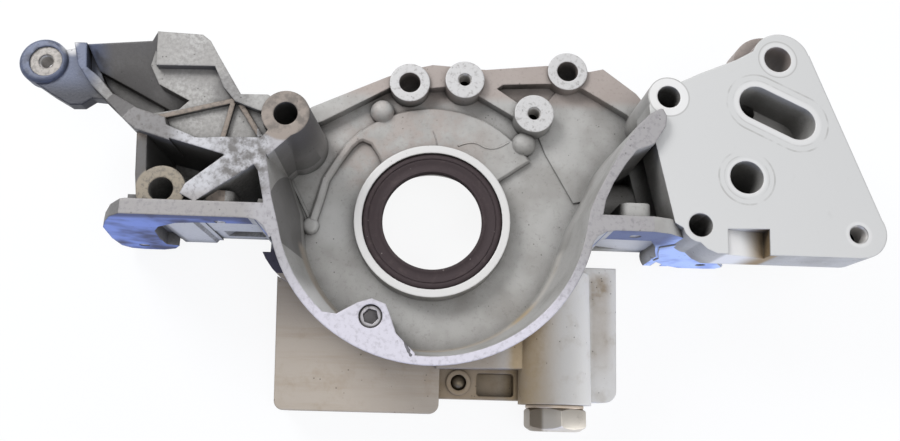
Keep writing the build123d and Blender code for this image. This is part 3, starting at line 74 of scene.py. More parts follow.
# Radius of the tapped holes in the sump's rail, and the lines of two low ridges, in millimetres.
RAIL_HOLE_RADIUS = 2.5
FLOW_LINE = ((11.9, 40.5, 30.8), (16.4, 42.6, 30.8), (21.4, 42.5, 30.8), (25.5, 40.0, 30.8),
             (30.1, 39.6, 30.8), (34.6, 41.4, 30.8), (37.5, 43.6, 30.8))
SHORT_CREASE = ((-1.0, 48.0, 30.9), (0.6, 44.8, 30.9), (1.3, 40.6, 30.9))
Colour = tuple[float, float, float]
Point = tuple[float, float, float]
Spot = tuple[float, float]
Nodes = dict[str, bpy.types.Object]


class Body(Enum):
    """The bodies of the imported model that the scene's own pieces move with."""

    CASE = "case"
    PLUNGER = "relief_plunger"


class Slot(Enum):
    """The record's material slots for the scene's own pieces, passed along but not set here."""

    CASTING = "case_aluminium"
    SEAL_RUBBER = "seal_rubber"
    SPRING = "spring_steel"
    PLUG = "plug_steel"
    GASKET = "gasket_copper"
    SOCKET_PLUG = "socket_plug_steel"


class Level(Enum):
    """Heights above the block face, in millimetres, at which the case is milled."""

    RIM = 76.0
    PLATE = 72.0
    EYE = 59.4
    SEAL = 38.0
    LAND = 36.0


def tone(red: int, green: int, blue: int) -> Colour:
    """Turns a colour of 0 to 255 a channel into linear light.

    Args:
        red: Red, 0 to 255.
        green: Green, 0 to 255.
        blue: Blue, 0 to 255.

    Returns:
        The three linear values that a shader takes.
    """
    def linear(channel: int) -> float:
        """Linear value of one channel."""
        share = channel / 255
        return share / 12.92 if share <= 0.04045 else ((share + 0.055) / 1.055) ** 2.4

    return linear(red), linear(green), linear(blue)


class Wire:
    """An output of a shader node that takes arithmetic."""

    def __init__(self, sheet: "Sheet", socket: bpy.types.NodeSocket) -> None:
        """Keeps the sheet that the socket is on."""
        self.sheet = sheet
        self.socket = socket

    def maths(self, operation: str, *others: "Wire | float",
              first: "Wire | float | None" = None) -> "Wire":
        """Adds one Math node.

        Args:
            operation: Name of the operation.
            others: The values after the first.
            first: The first value, or None for this wire itself.

        Returns:
            The node's result.
        """
        inputs = {0: self if first is None else first}
        inputs.update({number + 1: other for number, other in enumerate(others)})
        return self.sheet.node("ShaderNodeMath", {"operation": operation}, inputs)

    def __add__(self, other: "Wire | float") -> "Wire":
        """Sum."""
        return self.maths("ADD", other)

    def __radd__(self, other: float) -> "Wire":
        """Sum with a number in front."""
        return self.maths("ADD", other)

    def __sub__(self, other: "Wire | float") -> "Wire":
        """Difference."""
        return self.maths("SUBTRACT", other)

    def __rsub__(self, other: float) -> "Wire":
        """Difference from a number."""
        return self.maths("SUBTRACT", self, first=other)

    def __mul__(self, other: "Wire | float") -> "Wire":
        """Product."""
        return self.maths("MULTIPLY", other)

    def __rmul__(self, other: float) -> "Wire":
        """Product with a number in front."""
        return self.maths("MULTIPLY", other)

    def __pow__(self, other: "Wire | float") -> "Wire":
        """Power."""
        return self.maths("POWER", other)

    def __gt__(self, other: "Wire | float") -> "Wire":
        """One where this is greater, otherwise nought."""
        return self.maths("GREATER_THAN", other)

    def __lt__(self, other: "Wire | float") -> "Wire":
        """One where this is less, otherwise nought."""
        return self.maths("LESS_THAN", other)

    def __abs__(self) -> "Wire":
        """Size without sign."""
        return self.maths("ABSOLUTE")

    def near(self, value: float, within: float) -> "Wire":
        """One where this is within a distance of a value."""
        return self.maths("COMPARE", value, within)

    def largest(self, other: "Wire | float") -> "Wire":
        """The larger of two values."""
        return self.maths("MAXIMUM", other)

    def ramp(self, low: float, high: float) -> "Wire":
        """Rises smoothly from 0 at low to 1 at high, or falls where low is above high."""
        return self.sheet.node("ShaderNodeMapRange", {"interpolation_type": "SMOOTHSTEP"},
                               {"Value": self, "From Min": low, "From Max": high})


class Sheet:
    """The shader nodes of one material."""

    def __init__(self, name: str) -> None:
        """Starts an empty material of that name."""
        self.material = bpy.data.materials.new(name)
        self.material.use_nodes = True
        self.tree = self.material.node_tree
        self.tree.nodes.clear()

    def node(self, kind: str, settings: dict | None = None, inputs: dict | None = None,
             output: int | str = 0) -> Wire:
        """Adds a node of any type.

        Args:
            kind: The node's type.
            settings: What is set on the node first.
            inputs: Values, colours or wires for its inputs, by name or number.
            output: Name or number of the output that is wanted.

        Returns:
            That output.
        """
        made = self.tree.nodes.new(kind)
        for key, value in (settings or {}).items():
            setattr(made, key, value)
        for key, value in (inputs or {}).items():
            self._feed(made.inputs[key], value)
        return Wire(self, made.outputs[output])

    def _feed(self, socket: bpy.types.NodeSocket, value: "Wire | float | Sequence[float]") -> None:
        """Links a wire to an input, or sets a value on it.

        Args:
            socket: The input.
            value: The wire, number, colour or vector.
        """
        if isinstance(value, Wire):
            self.tree.links.new(value.socket, socket)
        elif isinstance(value, (int, float)):
            socket.default_value = float(value)
        elif len(value) == 3 and socket.type == "RGBA":
            socket.default_value = (*value, 1.0)
        else:
            socket.default_value = tuple(value)

    @property
    def place(self) -> Wire:
        """Position on the piece, in metres."""
        return self.node("ShaderNodeTexCoord", output="Object")

    def axes(self, vector: Wire) -> tuple[Wire, Wire, Wire]:
        """The three parts of a vector.

        Args:
            vector: The vector.

        Returns:
            Its x, y and z.
        """
        first = self.node("ShaderNodeSeparateXYZ", {}, {0: vector})
        outputs = first.socket.node.outputs
        return first, Wire(self, outputs[1]), Wire(self, outputs[2])

    @property
    def facing(self) -> Wire:
        """Direction that the surface faces."""
        return self.node("ShaderNodeNewGeometry", output="True Normal")

    def noise(self, size: float, detail: float = 3.0, roughness: float = 0.55,
              seed: float = 0.0) -> Wire:
        """Cloudy noise whose features have a size in metres, from about 0.2 to 0.8.

        Args:
            size: Size of its features in metres.
            detail: Number of finer layers.
            roughness: Weight of the finer layers.
            seed: Number that tells one noise from another.

        Returns:
            Its value, about 0.2 to 0.8.
        """
        return self.node("ShaderNodeTexNoise", {"noise_dimensions": "4D"},
                         {"Vector": self.place, "W": seed, "Scale": 1 / size, "Detail": detail,
                          "Roughness": roughness}, "Fac")

    def cells(self, size: float) -> Wire:
        """Distance to the nearest of scattered points, in parts of their spacing."""
        return self.node("ShaderNodeTexVoronoi", {"feature": "F1"},
                         {"Vector": self.place, "Scale": 1 / size}, "Distance")

    def crevice(self, reach: float) -> Wire:
        """One in a narrow gap and nought in the open, judged over a reach in metres."""
        open_share = self.node("ShaderNodeAmbientOcclusion", {"samples": 8}, {"Distance": reach},
                               "AO")
        return 1 - open_share

    def from_axis(self, x: float, y: float) -> Wire:
        """Distance from a line along Z."""
        along_x, along_y, _ = self.axes(self.place)
        return ((along_x - x) ** 2.0 + (along_y - y) ** 2.0) ** 0.5

    def mix(self, share: Wire, first: "Wire | Colour", second: "Wire | Colour") -> Wire:
        """Mixes two colours: the first for a share of 0 and the second for 1."""
        return self.node("ShaderNodeMix",
                         {"data_type": "RGBA", "blend_type": "MIX", "clamp_factor": True},
                         {0: share, 6: first, 7: second}, 2)

    def bump(self, height: Wire, strength: float, distance: float,
             under: Wire | None = None) -> Wire:
        """Bumps the surface by a height.

        Args:
            height: The height, 0 to 1.
            strength: How much of the bump is used.
            distance: Depth of the relief in metres.
            under: A direction that the bump is added to.

        Returns:
            The new direction.
        """
        inputs = {"Strength": strength, "Distance": distance, "Height": height}
        if under is not None:
            inputs["Normal"] = under
        return self.node("ShaderNodeBump", {}, inputs)

    def worn_edge(self, radius: float) -> Wire:
        """Direction of a surface whose edges are rounded by a radius."""
        return self.node("ShaderNodeBevel", {"samples": 6}, {"Radius": radius})

    def surface(self, inputs: dict) -> bpy.types.Material:
        """Ends the sheet with a principled shader.

        Args:
            inputs: What its inputs are set or linked to.

        Returns:
            The finished material.
        """
        shader = self.node("ShaderNodeBsdfPrincipled", {}, inputs)
        return self.end(shader)

    def end(self, shader: Wire) -> bpy.types.Material:
        """Links a shader to the material's output and returns the material."""
        out = self.tree.nodes.new("ShaderNodeOutputMaterial")
        self.tree.links.new(shader.socket, out.inputs["Surface"])
        return self.material


@dataclass(frozen=True)
class CastAluminium:
    """Die-cast aluminium, milled on its joint faces, with grime and painted shade in its corners.

    The places, radii and lengths of the fields are in millimetres, and the bare places in the masks
    in metres.
    """

    name: str = "cast_aluminium"
    cast: Colour = tone(172, 171, 169)
    cast_dark: Colour = tone(150, 148, 145)
    speck: Colour = tone(112, 108, 104)
    bracket: Colour = tone(143, 141, 139)
    shade: Colour = tone(88, 86, 86)
    warm: Colour = tone(160, 148, 142)
    rim: Colour = tone(199, 196, 205)
    rim_side: Colour = tone(164, 162, 165)
    rim_speckle: Colour = tone(122, 118, 122)
    wing_edge: Colour = tone(150, 147, 146)
    hub_bright: Colour = tone(180, 180, 184)
    hub_dark: Colour = tone(84, 80, 76)
    brown_boss: Colour = tone(140, 130, 122)
    brown_fleck: Colour = tone(108, 101, 95)
    beige_boss: Colour = tone(140, 131, 117)
    rib: Colour = tone(128, 117, 108)
    seal_face: Colour = tone(206, 205, 204)
    turned_face: Colour = tone(194, 193, 193)
    eye_face: Colour = tone(138, 133, 128)
    filter_face: Colour = tone(198, 198, 197)
    # Pale colour of the painted highlights and glints.
    painted_highlight: Colour = tone(220, 219, 218)
    # Painted blue reflection of the room, its painted shade and its pale painted highlight.
    painted_blue_reflection: Colour = tone(122, 142, 204)
    painted_blue_shade: Colour = tone(48, 48, 74)
    painted_pale_reflection: Colour = tone(186, 206, 252)
    # Painted blue reflection on the arm, lit and in painted shade.
    arm_painted_reflection: Colour = tone(88, 95, 116)
    arm_painted_shade: Colour = tone(40, 42, 52)
    beige: Colour = tone(172, 162, 150)
    housing: Colour = tone(192, 189, 184)
    housing_lit: Colour = tone(218, 216, 212)
    brown: Colour = tone(136, 115, 83)
    amber: Colour = tone(184, 164, 132)
    # Dark colour of the grime, the pits and the painted shade in corners, creases and along edges.
    dirt_and_shade: Colour = tone(36, 34, 31)
    tall_boss: Spot = (-67.3, 37.0)
    left_boss: Spot = (-119.5, 1.1)
    inlet: Spot = (141.4, 16.4)
    notch: Spot = (141.5, -7.0)
    arm_groove: Spot = (-143.0, 50.5)
    # Spot of a painted highlight near the arm's tip.
    arm_highlight: Spot = (-172.5, 74.0)
    left_pocket: Spot = (-93.0, 47.0)
    # Spots of painted light on the bowl's floor and on its lower inner wall.
    painted_light_on_bowl_floor: Spot = (-50.0, -2.0)
    painted_light_on_bowl_wall: Spot = (-46.2, -41.6)
    land_middle: Spot = (-12.0, 34.0)
    slot_middle: Spot = (157.75, 48.15)
    slot_way: Spot = (0.8992, -0.4376)
    slot_half: float = 10.4
    # Middle, direction and half length of a painted shade line along the lobe's edge.
    edge_shade_middle: Spot = (-11.6, -60.0)
    edge_shade_way: Spot = (0.4253, -0.9050)
    edge_shade_half: float = 8.6
    bolt_rings: tuple[Point, ...] = ((107.2, 54.0, 9.2), (159.9, 75.1, 8.8))
    other_rings: tuple[Point, ...] = ((141.4, 16.4, 9.6), (190.6, -8.5, 6.4))
    slot_marks: tuple[Point, ...] = ((14.0, 0.4, 1.0), (11.2, 0.3, 0.6))
    inlet_marks: tuple[Point, ...] = ((12.8, 0.4, 1.0), (10.3, 0.3, 0.6))
    # Reach of the grime and painted shade in narrow gaps, and of the painted shade in deep hollows,
    # in millimetres.
    grime_and_shade_reach: float = 12.0
    shade_reach: float = 32.0
    worn_radius: float = 1.1

    def _face(self, sheet: Sheet, level: Level) -> Wire:
        """One on the faces that were milled at a level.

        Args:
            sheet: The material's nodes.
            level: The level.

        Returns:
            The mask.
        """
        _, _, z = sheet.axes(sheet.place)
        _, _, face_z = sheet.axes(sheet.facing)
        return z.near(level.value * MM, FLAT) * (face_z > 0.99)

    def _spot(self, sheet: Sheet, place: Spot, inner: float, outer: float) -> Wire:
        """One round an axis along Z, and falling to nought from an inner to an outer radius."""
        return sheet.from_axis(place[0] * MM, place[1] * MM).ramp(outer * MM, inner * MM)

    def _patches(self, sheet: Sheet) -> Wire:
        """Noise of the stains, shared by all that they reach."""
        return sheet.noise(0.009, 4.0, 0.6, 7.0)

    def _cloud(self, sheet: Sheet) -> Wire:
        """Noise of the skin's large pale and dark areas."""
        return sheet.noise(0.02, 3.0, 0.5, 3.0)

    def _segment(self, sheet: Sheet, middle: Spot, way: Spot, half: float) -> Wire:
        """Distance in metres from a straight line of a half length.

        Args:
            sheet: The material's nodes.
            middle: Middle of the line.
            way: Its direction, of length 1.
            half: Half its length.

        Returns:
            The distance.
        """
        x, y, _ = sheet.axes(sheet.place)
        along = (x - middle[0] * MM) * way[0] + (y - middle[1] * MM) * way[1]
        across = (y - middle[1] * MM) * way[0] - (x - middle[0] * MM) * way[1]
        past = (abs(along) - half * MM).largest(0.0)
        return (across ** 2.0 + past ** 2.0) ** 0.5

    def _marks(self, sheet: Sheet, filter_side: Wire) -> Wire:
        """Ring marks that the filter's seals and the bolt heads left on the plate.

        Args:
            sheet: The material's nodes.
            filter_side: Mask of the plate.

        Returns:
            The mask of the marks.
        """
        slot = self._segment(sheet, self.slot_middle, self.slot_way, self.slot_half)
        inlet = sheet.from_axis(self.inlet[0] * MM, self.inlet[1] * MM)
        marks = [(slot, mark) for mark in self.slot_marks]
        marks += [(inlet, mark) for mark in self.inlet_marks]
        rings = 0.0
        for away, (distance, width, strength) in marks:
            rings = away.near(distance * MM, width * MM) * strength + rings
        broken = sheet.noise(0.012, 3.0, 0.6, 21.0).ramp(0.40, 0.60)
        rings = rings * broken
        for x, y, radius in self.bolt_rings:
            bolt_head = sheet.from_axis(x * MM, y * MM).near((radius + 0.3) * MM, 0.0003)
            rings = rings + bolt_head * 0.8
        return rings * filter_side

    def _painted_glints(self, sheet: Sheet) -> Wire:
        """Painted glints on the chamfers round the holes and the slot of the filter plate.

        Args:
            sheet: The material's nodes.

        Returns:
            The mask of the painted glints.
        """
        slot = self._segment(sheet, self.slot_middle, self.slot_way, self.slot_half)
        pale = slot.ramp(0.0116, 0.0098) * 0.5
        for x, y, radius in self.bolt_rings + self.other_rings:
            pale = pale.largest(self._spot(sheet, (x, y), radius - 0.9, radius) * 0.4)
        x, y, radius = self.bolt_rings[0]
        return pale.largest(self._spot(sheet, (x, y), radius - 0.3, radius) * 0.9)

    def _rim_colour(self, sheet: Sheet, fleck: Wire) -> Wire:
        """Colour of the arch's rim and of the wings' front edges.

        Args:
            sheet: The material's nodes.
            fleck: Noise of its specks.

        Returns:
            The colour.
        """
        x, y, _ = sheet.axes(sheet.place)
        rim = sheet.mix(y.ramp(-0.026, -0.056), self.rim_side, self.rim)
        right_wing = x.ramp(0.045, 0.058) * y.ramp(-0.030, -0.020)
        rim = sheet.mix(right_wing * 0.6, rim, self.wing_edge)
        left_wing = x.ramp(-0.074, -0.084) * y.ramp(0.003, -0.002)
        rim = sheet.mix(left_wing, rim, self.wing_edge)
        speckle = fleck.ramp(0.47, 0.68) * (0.55 - y.ramp(-0.026, -0.056) * 0.2)
        rim = sheet.mix(speckle, rim, self.rim_speckle)
        # Painted dark blue shade at the rim's left end.
        left_end = x.ramp(-0.136, -0.143)
        return sheet.mix(left_end * 0.9, rim, self.painted_blue_shade)

    def _hub_colour(self, sheet: Sheet, fleck: Wire, blot: Wire) -> Wire:
        """Colour of the mottled hub where the left ribs meet.

        Args:
            sheet: The material's nodes.
            fleck: Noise of its specks.
            blot: Noise of its blots.

        Returns:
            The colour.
        """
        x, y, _ = sheet.axes(sheet.place)
        hub = sheet.mix(fleck.ramp(0.44, 0.72) * 0.7, self.hub_bright, self.hub_dark)
        worn = sheet.noise(0.0042, 4.0, 0.6, 19.0).ramp(0.34, 0.62)
        hub = sheet.mix(worn * x.ramp(-0.100, -0.090) * 0.85, hub, self.hub_dark)
        hub = sheet.mix(blot.ramp(0.50, 0.66) * x.ramp(-0.098, -0.080) * 0.5, hub, self.hub_dark)
        bar = x.ramp(-0.108, -0.120) * y.ramp(0.018, 0.022)
        return sheet.mix(bar * 0.75, hub, self.hub_dark)

    def _milled_colour(self, sheet: Sheet, filter_side: Wire) -> Wire:
        """Colour of the milled faces, feature by feature.

        Args:
            sheet: The material's nodes.
            filter_side: Mask of the filter plate.

        Returns:
            The colour.
        """
        x, y, _ = sheet.axes(sheet.place)
        fleck = sheet.noise(0.0021, 5.0, 0.7, 11.0)
        blot = sheet.noise(0.006, 4.0, 0.6, 13.0)
        hub = x.ramp(-0.070, -0.076) * y.ramp(-0.004, 0.004)
        colour = sheet.mix(hub, self._rim_colour(sheet, fleck),
                           self._hub_colour(sheet, fleck, blot))
        tall = sheet.mix(blot.ramp(0.42, 0.62), self.brown_boss, self.brown_fleck)
        colour = sheet.mix(self._spot(sheet, self.tall_boss, 11.8, 13.5), colour, tall)
        left_ribs = self._face(sheet, Level.PLATE) * (x < -0.08)
        strip = x.ramp(-0.1245, -0.1265) * y.ramp(0.027, 0.022)
        boss = sheet.mix(strip, self.rib, self.shade)
        boss = sheet.mix(self._spot(sheet, self.left_boss, 10.6, 11.6), boss, self.beige_boss)
        boss = sheet.mix(fleck.ramp(0.46, 0.62) * 0.6, boss, self.hub_dark)
        colour = sheet.mix(left_ribs, colour, boss)
        turned = sheet.mix(fleck.ramp(0.50, 0.66) * 0.5, self.turned_face, self.speck)
        colour = sheet.mix(self._face(sheet, Level.SEAL) + self._face(sheet, Level.LAND), colour,
                           turned)
        seal_ring = self._face(sheet, Level.SEAL) * (sheet.from_axis(0.0, 0.0) < 0.039)
        colour = sheet.mix(seal_ring, colour, self.seal_face)
        eye = sheet.mix(fleck.ramp(0.45, 0.6) * 0.6, self.eye_face, self.hub_dark)
        colour = sheet.mix(self._face(sheet, Level.EYE), colour, eye)
        plate = sheet.mix(blot.ramp(0.62, 0.8) * 0.12, self.filter_face, self.cast_dark)
        # Painted glints on the chamfers round the plate's holes and slot.
        plate = sheet.mix(self._painted_glints(sheet), plate, self.painted_highlight)
        plate = sheet.mix(self._marks(sheet, filter_side) * 0.55, plate, self.cast_dark)
        return sheet.mix(filter_side, colour, plate)

    def _rail_colour(self, sheet: Sheet) -> Wire:
        """Colour of the oily rail that the sump seals on: a painted blue reflection of the room,
        darker with oil and painted shade, with a pale painted highlight at the right.

        Args:
            sheet: The material's nodes.

        Returns:
            The colour.
        """
        x, _, z = sheet.axes(sheet.place)
        # Painted blue reflection, darker with oil pools and, towards the front, with painted shade.
        pools = sheet.noise(0.015, 2.0, 0.5, 17.0)
        oil = (pools.ramp(0.36, 0.66) * 0.9).largest(z.ramp(0.066, 0.073) * 0.8)
        left = sheet.mix(oil, self.painted_blue_reflection, self.painted_blue_shade)
        right = sheet.mix(pools.ramp(0.50, 0.66) * 0.6, self.painted_pale_reflection, self.painted_blue_reflection)
        # Painted shade at the inner end of the right rail.
        inner_end = x.ramp(0.116, 0.104) * z.ramp(0.040, 0.052)
        right = sheet.mix(inner_end * 0.8, right, self.painted_blue_shade)
        return sheet.mix(x.ramp(-0.01, 0.01), left, right)

    def _upper_colour(self, sheet: Sheet) -> Wire:
        """Colour of the cast skin above the sump's rail.

        Args:
            sheet: The material's nodes.

        Returns:
            The colour.
        """
        x, y, z = sheet.axes(sheet.place)
        _, face_y, face_z = sheet.axes(sheet.facing)
        fine = sheet.noise(0.0018, 4.0, 0.65, 9.0)
        cast = sheet.mix(self._cloud(sheet).ramp(0.30, 0.62), self.cast_dark, self.cast)
        bracket = x.ramp(-0.074, -0.086)
        cast = sheet.mix(bracket * fine.ramp(0.35, 0.6), cast, self.bracket)
        above_seal = self._spot(sheet, self.land_middle, 22.0, 52.0) * y.ramp(0.012, 0.022)
        stain = above_seal * self._patches(sheet).ramp(0.36, 0.58)
        cast = sheet.mix(stain * 0.6, cast, self.warm)
        top_wall = y.ramp(0.062, 0.068) * x.ramp(-0.06, -0.04)
        cast = sheet.mix(top_wall * 0.8, cast, self.warm)
        cast = sheet.mix(fine.ramp(0.52, 0.68) * 0.24, cast, self.speck)
        # Painted light on the faces that look down, just above the rail.
        under = (face_y < -0.9) * y.near(-0.004, 0.0074)
        cast = sheet.mix(under * 0.6, cast, self.painted_highlight)
        groove = self._spot(sheet, self.arm_groove, 8.0, 15.0) * z.ramp(0.066, 0.062)
        cast = sheet.mix(groove * 0.8, cast, self.shade)
        steep = (face_z < 0.965) * (face_y < 0.4)
        steep = steep * x.ramp(-0.084, -0.090) * y.ramp(0.010, 0.016)
        cast = sheet.mix(steep * 0.85, cast, self.shade)
        boss_side = self._spot(sheet, self.tall_boss, 11.2, 15.0) * (face_z < 0.5)
        wall = (face_z < 0.6) * x.near(-0.059, 0.012) * y.near(0.004, 0.026) * (z > 0.035)
        cast = sheet.mix(boss_side.largest(wall * 0.7), cast, self.shade)
        cast = sheet.mix(self._spot(sheet, self.left_pocket, 6.0, 12.0) * 0.45, cast, self.shade)
        # Painted light on the bowl's left floor and its lower inner wall.
        cast = sheet.mix(self._spot(sheet, self.painted_light_on_bowl_floor, 5.0, 15.0) * 0.5, cast, self.filter_face)
        cast = sheet.mix(self._spot(sheet, self.painted_light_on_bowl_wall, 5.0, 15.0) * (face_z < 0.97), cast,
                         self.painted_highlight)
        strip = x.ramp(-0.1245, -0.1265) * y.ramp(0.024, 0.022)
        cast = sheet.mix(strip * 0.7, cast, self.shade)
        return self._arm_colour(sheet, cast)

    def _arm_colour(self, sheet: Sheet, cast: Wire) -> Wire:
        """Colour of the oily arm, a painted blue reflection of the room with painted shade below
        and a painted highlight near its tip, over the skin's own.

        Args:
            sheet: The material's nodes.
            cast: The skin's own colour.

        Returns:
            The colour.
        """
        x, y, _ = sheet.axes(sheet.place)
        pools = sheet.noise(0.010, 3.0, 0.55, 23.0)
        # Painted shade towards the arm's lower edge, and pools of oil.
        oil = y.ramp(0.061, 0.048).largest(pools.ramp(0.46, 0.64) * 0.8)
        arm = sheet.mix(oil, self.arm_painted_reflection, self.arm_painted_shade)
        # Painted highlight near the arm's tip, in the seal face's colour.
        arm = sheet.mix(self._spot(sheet, self.arm_highlight, 3.0, 6.5) * 0.8, arm, self.seal_face)
        return sheet.mix(x.ramp(-0.150, -0.162), cast, arm)

    def _lower_colour(self, sheet: Sheet) -> Wire:
        """Colour of the part that hangs in the sump.

        Args:
            sheet: The material's nodes.

        Returns:
            The colour.
        """
        x, y, z = sheet.axes(sheet.place)
        patches = self._patches(sheet)
        drawn_out = sheet.node("ShaderNodeMapping", {},
                               {"Vector": sheet.place, "Scale": (18.0, 260.0, 18.0)})
        brushed = sheet.node("ShaderNodeTexNoise", {}, {"Vector": drawn_out, "Scale": 1.0,
                                                        "Detail": 3.0, "Roughness": 0.6}, "Fac")
        lower = sheet.mix(x.ramp(0.030, 0.042), self.beige, self.housing)
        lower = sheet.mix(x.ramp(0.060, 0.078), lower, self.housing_lit)
        suction_box = x.ramp(0.010, 0.004)
        lower = sheet.mix(brushed.ramp(0.45, 0.75) * suction_box * 0.22, lower, self.brown)
        beside_housing = x.ramp(0.036, 0.043) * x.ramp(0.065, 0.046) * y.ramp(-0.036, -0.044)
        plate_stain = x.ramp(0.080, 0.083) * x.ramp(0.094, 0.088)
        plate_stain = plate_stain * y.ramp(-0.018, -0.024) * y.ramp(-0.078, -0.05)
        lower = sheet.mix(beside_housing * (0.6 + patches * 0.8), lower, self.amber)
        stain = plate_stain * 0.55 + patches.ramp(0.5, 0.72) * 0.25
        lower = sheet.mix(stain * (0.35 + patches * 0.9), lower, self.brown)
        foot = x.near(0.026, 0.022) * (z < 0.0168)
        lower = sheet.mix(foot * (0.35 + 0.6 * patches), lower, self.brown)
        # Painted dark blue shade on the low faces at the back under the left wing.
        flange = (x < -0.066) * (y > -0.0267) * (z < 0.03)
        return sheet.mix(flange * 0.9, lower, self.painted_blue_shade)

    def build(self) -> bpy.types.Material:
        """Makes the material.

        Returns:
            The finished material.
        """
        sheet = Sheet(self.name)
        x, y, z = sheet.axes(sheet.place)
        _, face_y, face_z = sheet.axes(sheet.facing)
        milled = self._face(sheet, Level.LAND) * (y > 0.0)
        for level in (Level.RIM, Level.PLATE, Level.EYE, Level.SEAL):
            milled = milled + self._face(sheet, level)
        rail = (y.near(-0.0115, FLAT) + y.near(-0.0123, FLAT)) * (face_y < -0.98)
        joint = z.near(0.0, FLAT) * (face_z < -0.98)
        milled = milled.largest(joint)
        filter_side = self._face(sheet, Level.PLATE) * (x > 0.094)
        patches = self._patches(sheet)
        outside_bowl = sheet.from_axis(0.0, 0.0017).ramp(0.0625, 0.0645)
        below = y.ramp(-0.012, -0.016) * z.ramp(0.045, 0.036) * outside_bowl
        cast = sheet.mix(below, self._upper_colour(sheet), self._lower_colour(sheet))
        # Painted highlight on the notch's left side, turning brown towards its right.
        notch = self._spot(sheet, self.notch, 16.0, 18.0) * (z < 0.0712) * (z > 0.04)
        notch_colour = sheet.mix(x.ramp(0.138, 0.150), self.painted_highlight, self.brown)
        cast = sheet.mix(notch, cast, notch_colour)
        colour = sheet.mix(milled, cast, self._milled_colour(sheet, filter_side))
        # Painted shade, with some grime, darkens narrow gaps; more painted shade darkens deep
        # hollows; less of it falls on the part in the sump.
        crevice_shade = sheet.crevice(self.grime_and_shade_reach * MM)
        grime_and_shade = (crevice_shade ** 1.5) * (1.25 - 0.75 * milled) * (0.55 + patches * 0.9)
        grime_and_shade = grime_and_shade * (1 - below * 0.45)
        deep_shade = sheet.crevice(self.shade_reach * MM).ramp(0.52, 0.94) * 0.62 * (1 - milled)
        colour = sheet.mix(grime_and_shade.largest(deep_shade), colour, self.dirt_and_shade)
        colour = sheet.mix(rail, colour, self._rail_colour(sheet))
        # Painted shade: a thin, wavering dark line along the lobe's undercut right edge.
        edge_shade = self._segment(sheet, self.edge_shade_middle, self.edge_shade_way, self.edge_shade_half)
        wander = sheet.noise(0.004, 2.0, 0.5, 31.0) * 0.003 - 0.0015
        edge_shade = (edge_shade + wander).near(0.0, 0.0006) * self._face(sheet, Level.RIM) * (y < -0.04)
        colour = sheet.mix(edge_shade * 0.8, colour, self.dirt_and_shade)
        pits = sheet.cells(0.0032)
        pit_mask = (pits < 0.11) * patches.ramp(0.48, 0.60) * (1 - filter_side)
        colour = sheet.mix(pit_mask * 0.6, colour, self.dirt_and_shade)
        grain = sheet.noise(0.0011, 4.0, 0.6)
        arm = x.ramp(-0.150, -0.162)
        rough = 0.52 + grain * 0.1 - milled * 0.08 + grime_and_shade * 0.2 + rail * 0.1 - arm * 0.12
        relief = grain * (1 - milled * 0.9) + self._cloud(sheet) * 0.4 - pit_mask * 0.5
        normal = sheet.bump(relief, 0.3, 0.0004, sheet.worn_edge(self.worn_radius * MM))
        return sheet.surface({"Base Color": colour, "Metallic": 0.12 - rail * 0.12,
                              "Roughness": rough, "Normal": normal, "Specular IOR Level": 0.4})


@dataclass(frozen=True)
class TurnedMetal:
    """Machined or pressed metal with a fine grain, dim stained patches and painted shade in its
    crevices.

    Attributes:
        name: Name of the material.
        colour: Its clean colour.
        stain_and_shade: Its colour where it is stained, and the colour of its painted shade in
            crevices and on its darker side.
        stained: Share of it that is stained.
        roughness: Roughness where it is clean.
        metallic: How much of it reflects as metal.
        grain: Size of the grain in metres.
        dark_before: X in metres below which it is darker with painted shade, or None.
    """

    name: str
    colour: Colour
    stain_and_shade: Colour
    stained: float = 0.4
    roughness: float = 0.34
    metallic: float = 0.85
    grain: float = 0.0007
    dark_before: float | None = None

    def build(self) -> bpy.types.Material:
        """Makes the material.

        Returns:
            The finished material.
        """
        sheet = Sheet(self.name)
        patches = sheet.noise(0.005, 4.0, 0.6, 2.0)
        grain = sheet.noise(self.grain, 3.0, 0.6, 5.0)
        # Painted shade in the crevices, mixed with the stains.
        crevice_shade = sheet.crevice(0.006)
        stain_and_shade = (patches.ramp(0.75 - self.stained * 0.5, 0.85) * 0.8).largest(crevice_shade * 0.9)
        colour = sheet.mix(stain_and_shade, self.colour, self.stain_and_shade)
        # Painted shade on the side that lies below an x.
        if self.dark_before is not None:
            x, _, _ = sheet.axes(sheet.place)
            shaded_side = x.ramp(self.dark_before + 0.002, self.dark_before)
            colour = sheet.mix(shaded_side * 0.8, colour, self.stain_and_shade)
        rough = self.roughness + stain_and_shade * 0.25 + grain * 0.08
        normal = sheet.bump(grain, 0.15, 0.0002, sheet.worn_edge(0.0004))
        return sheet.surface({"Base Color": colour, "Metallic": self.metallic,
                              "Roughness": rough, "Normal": normal})


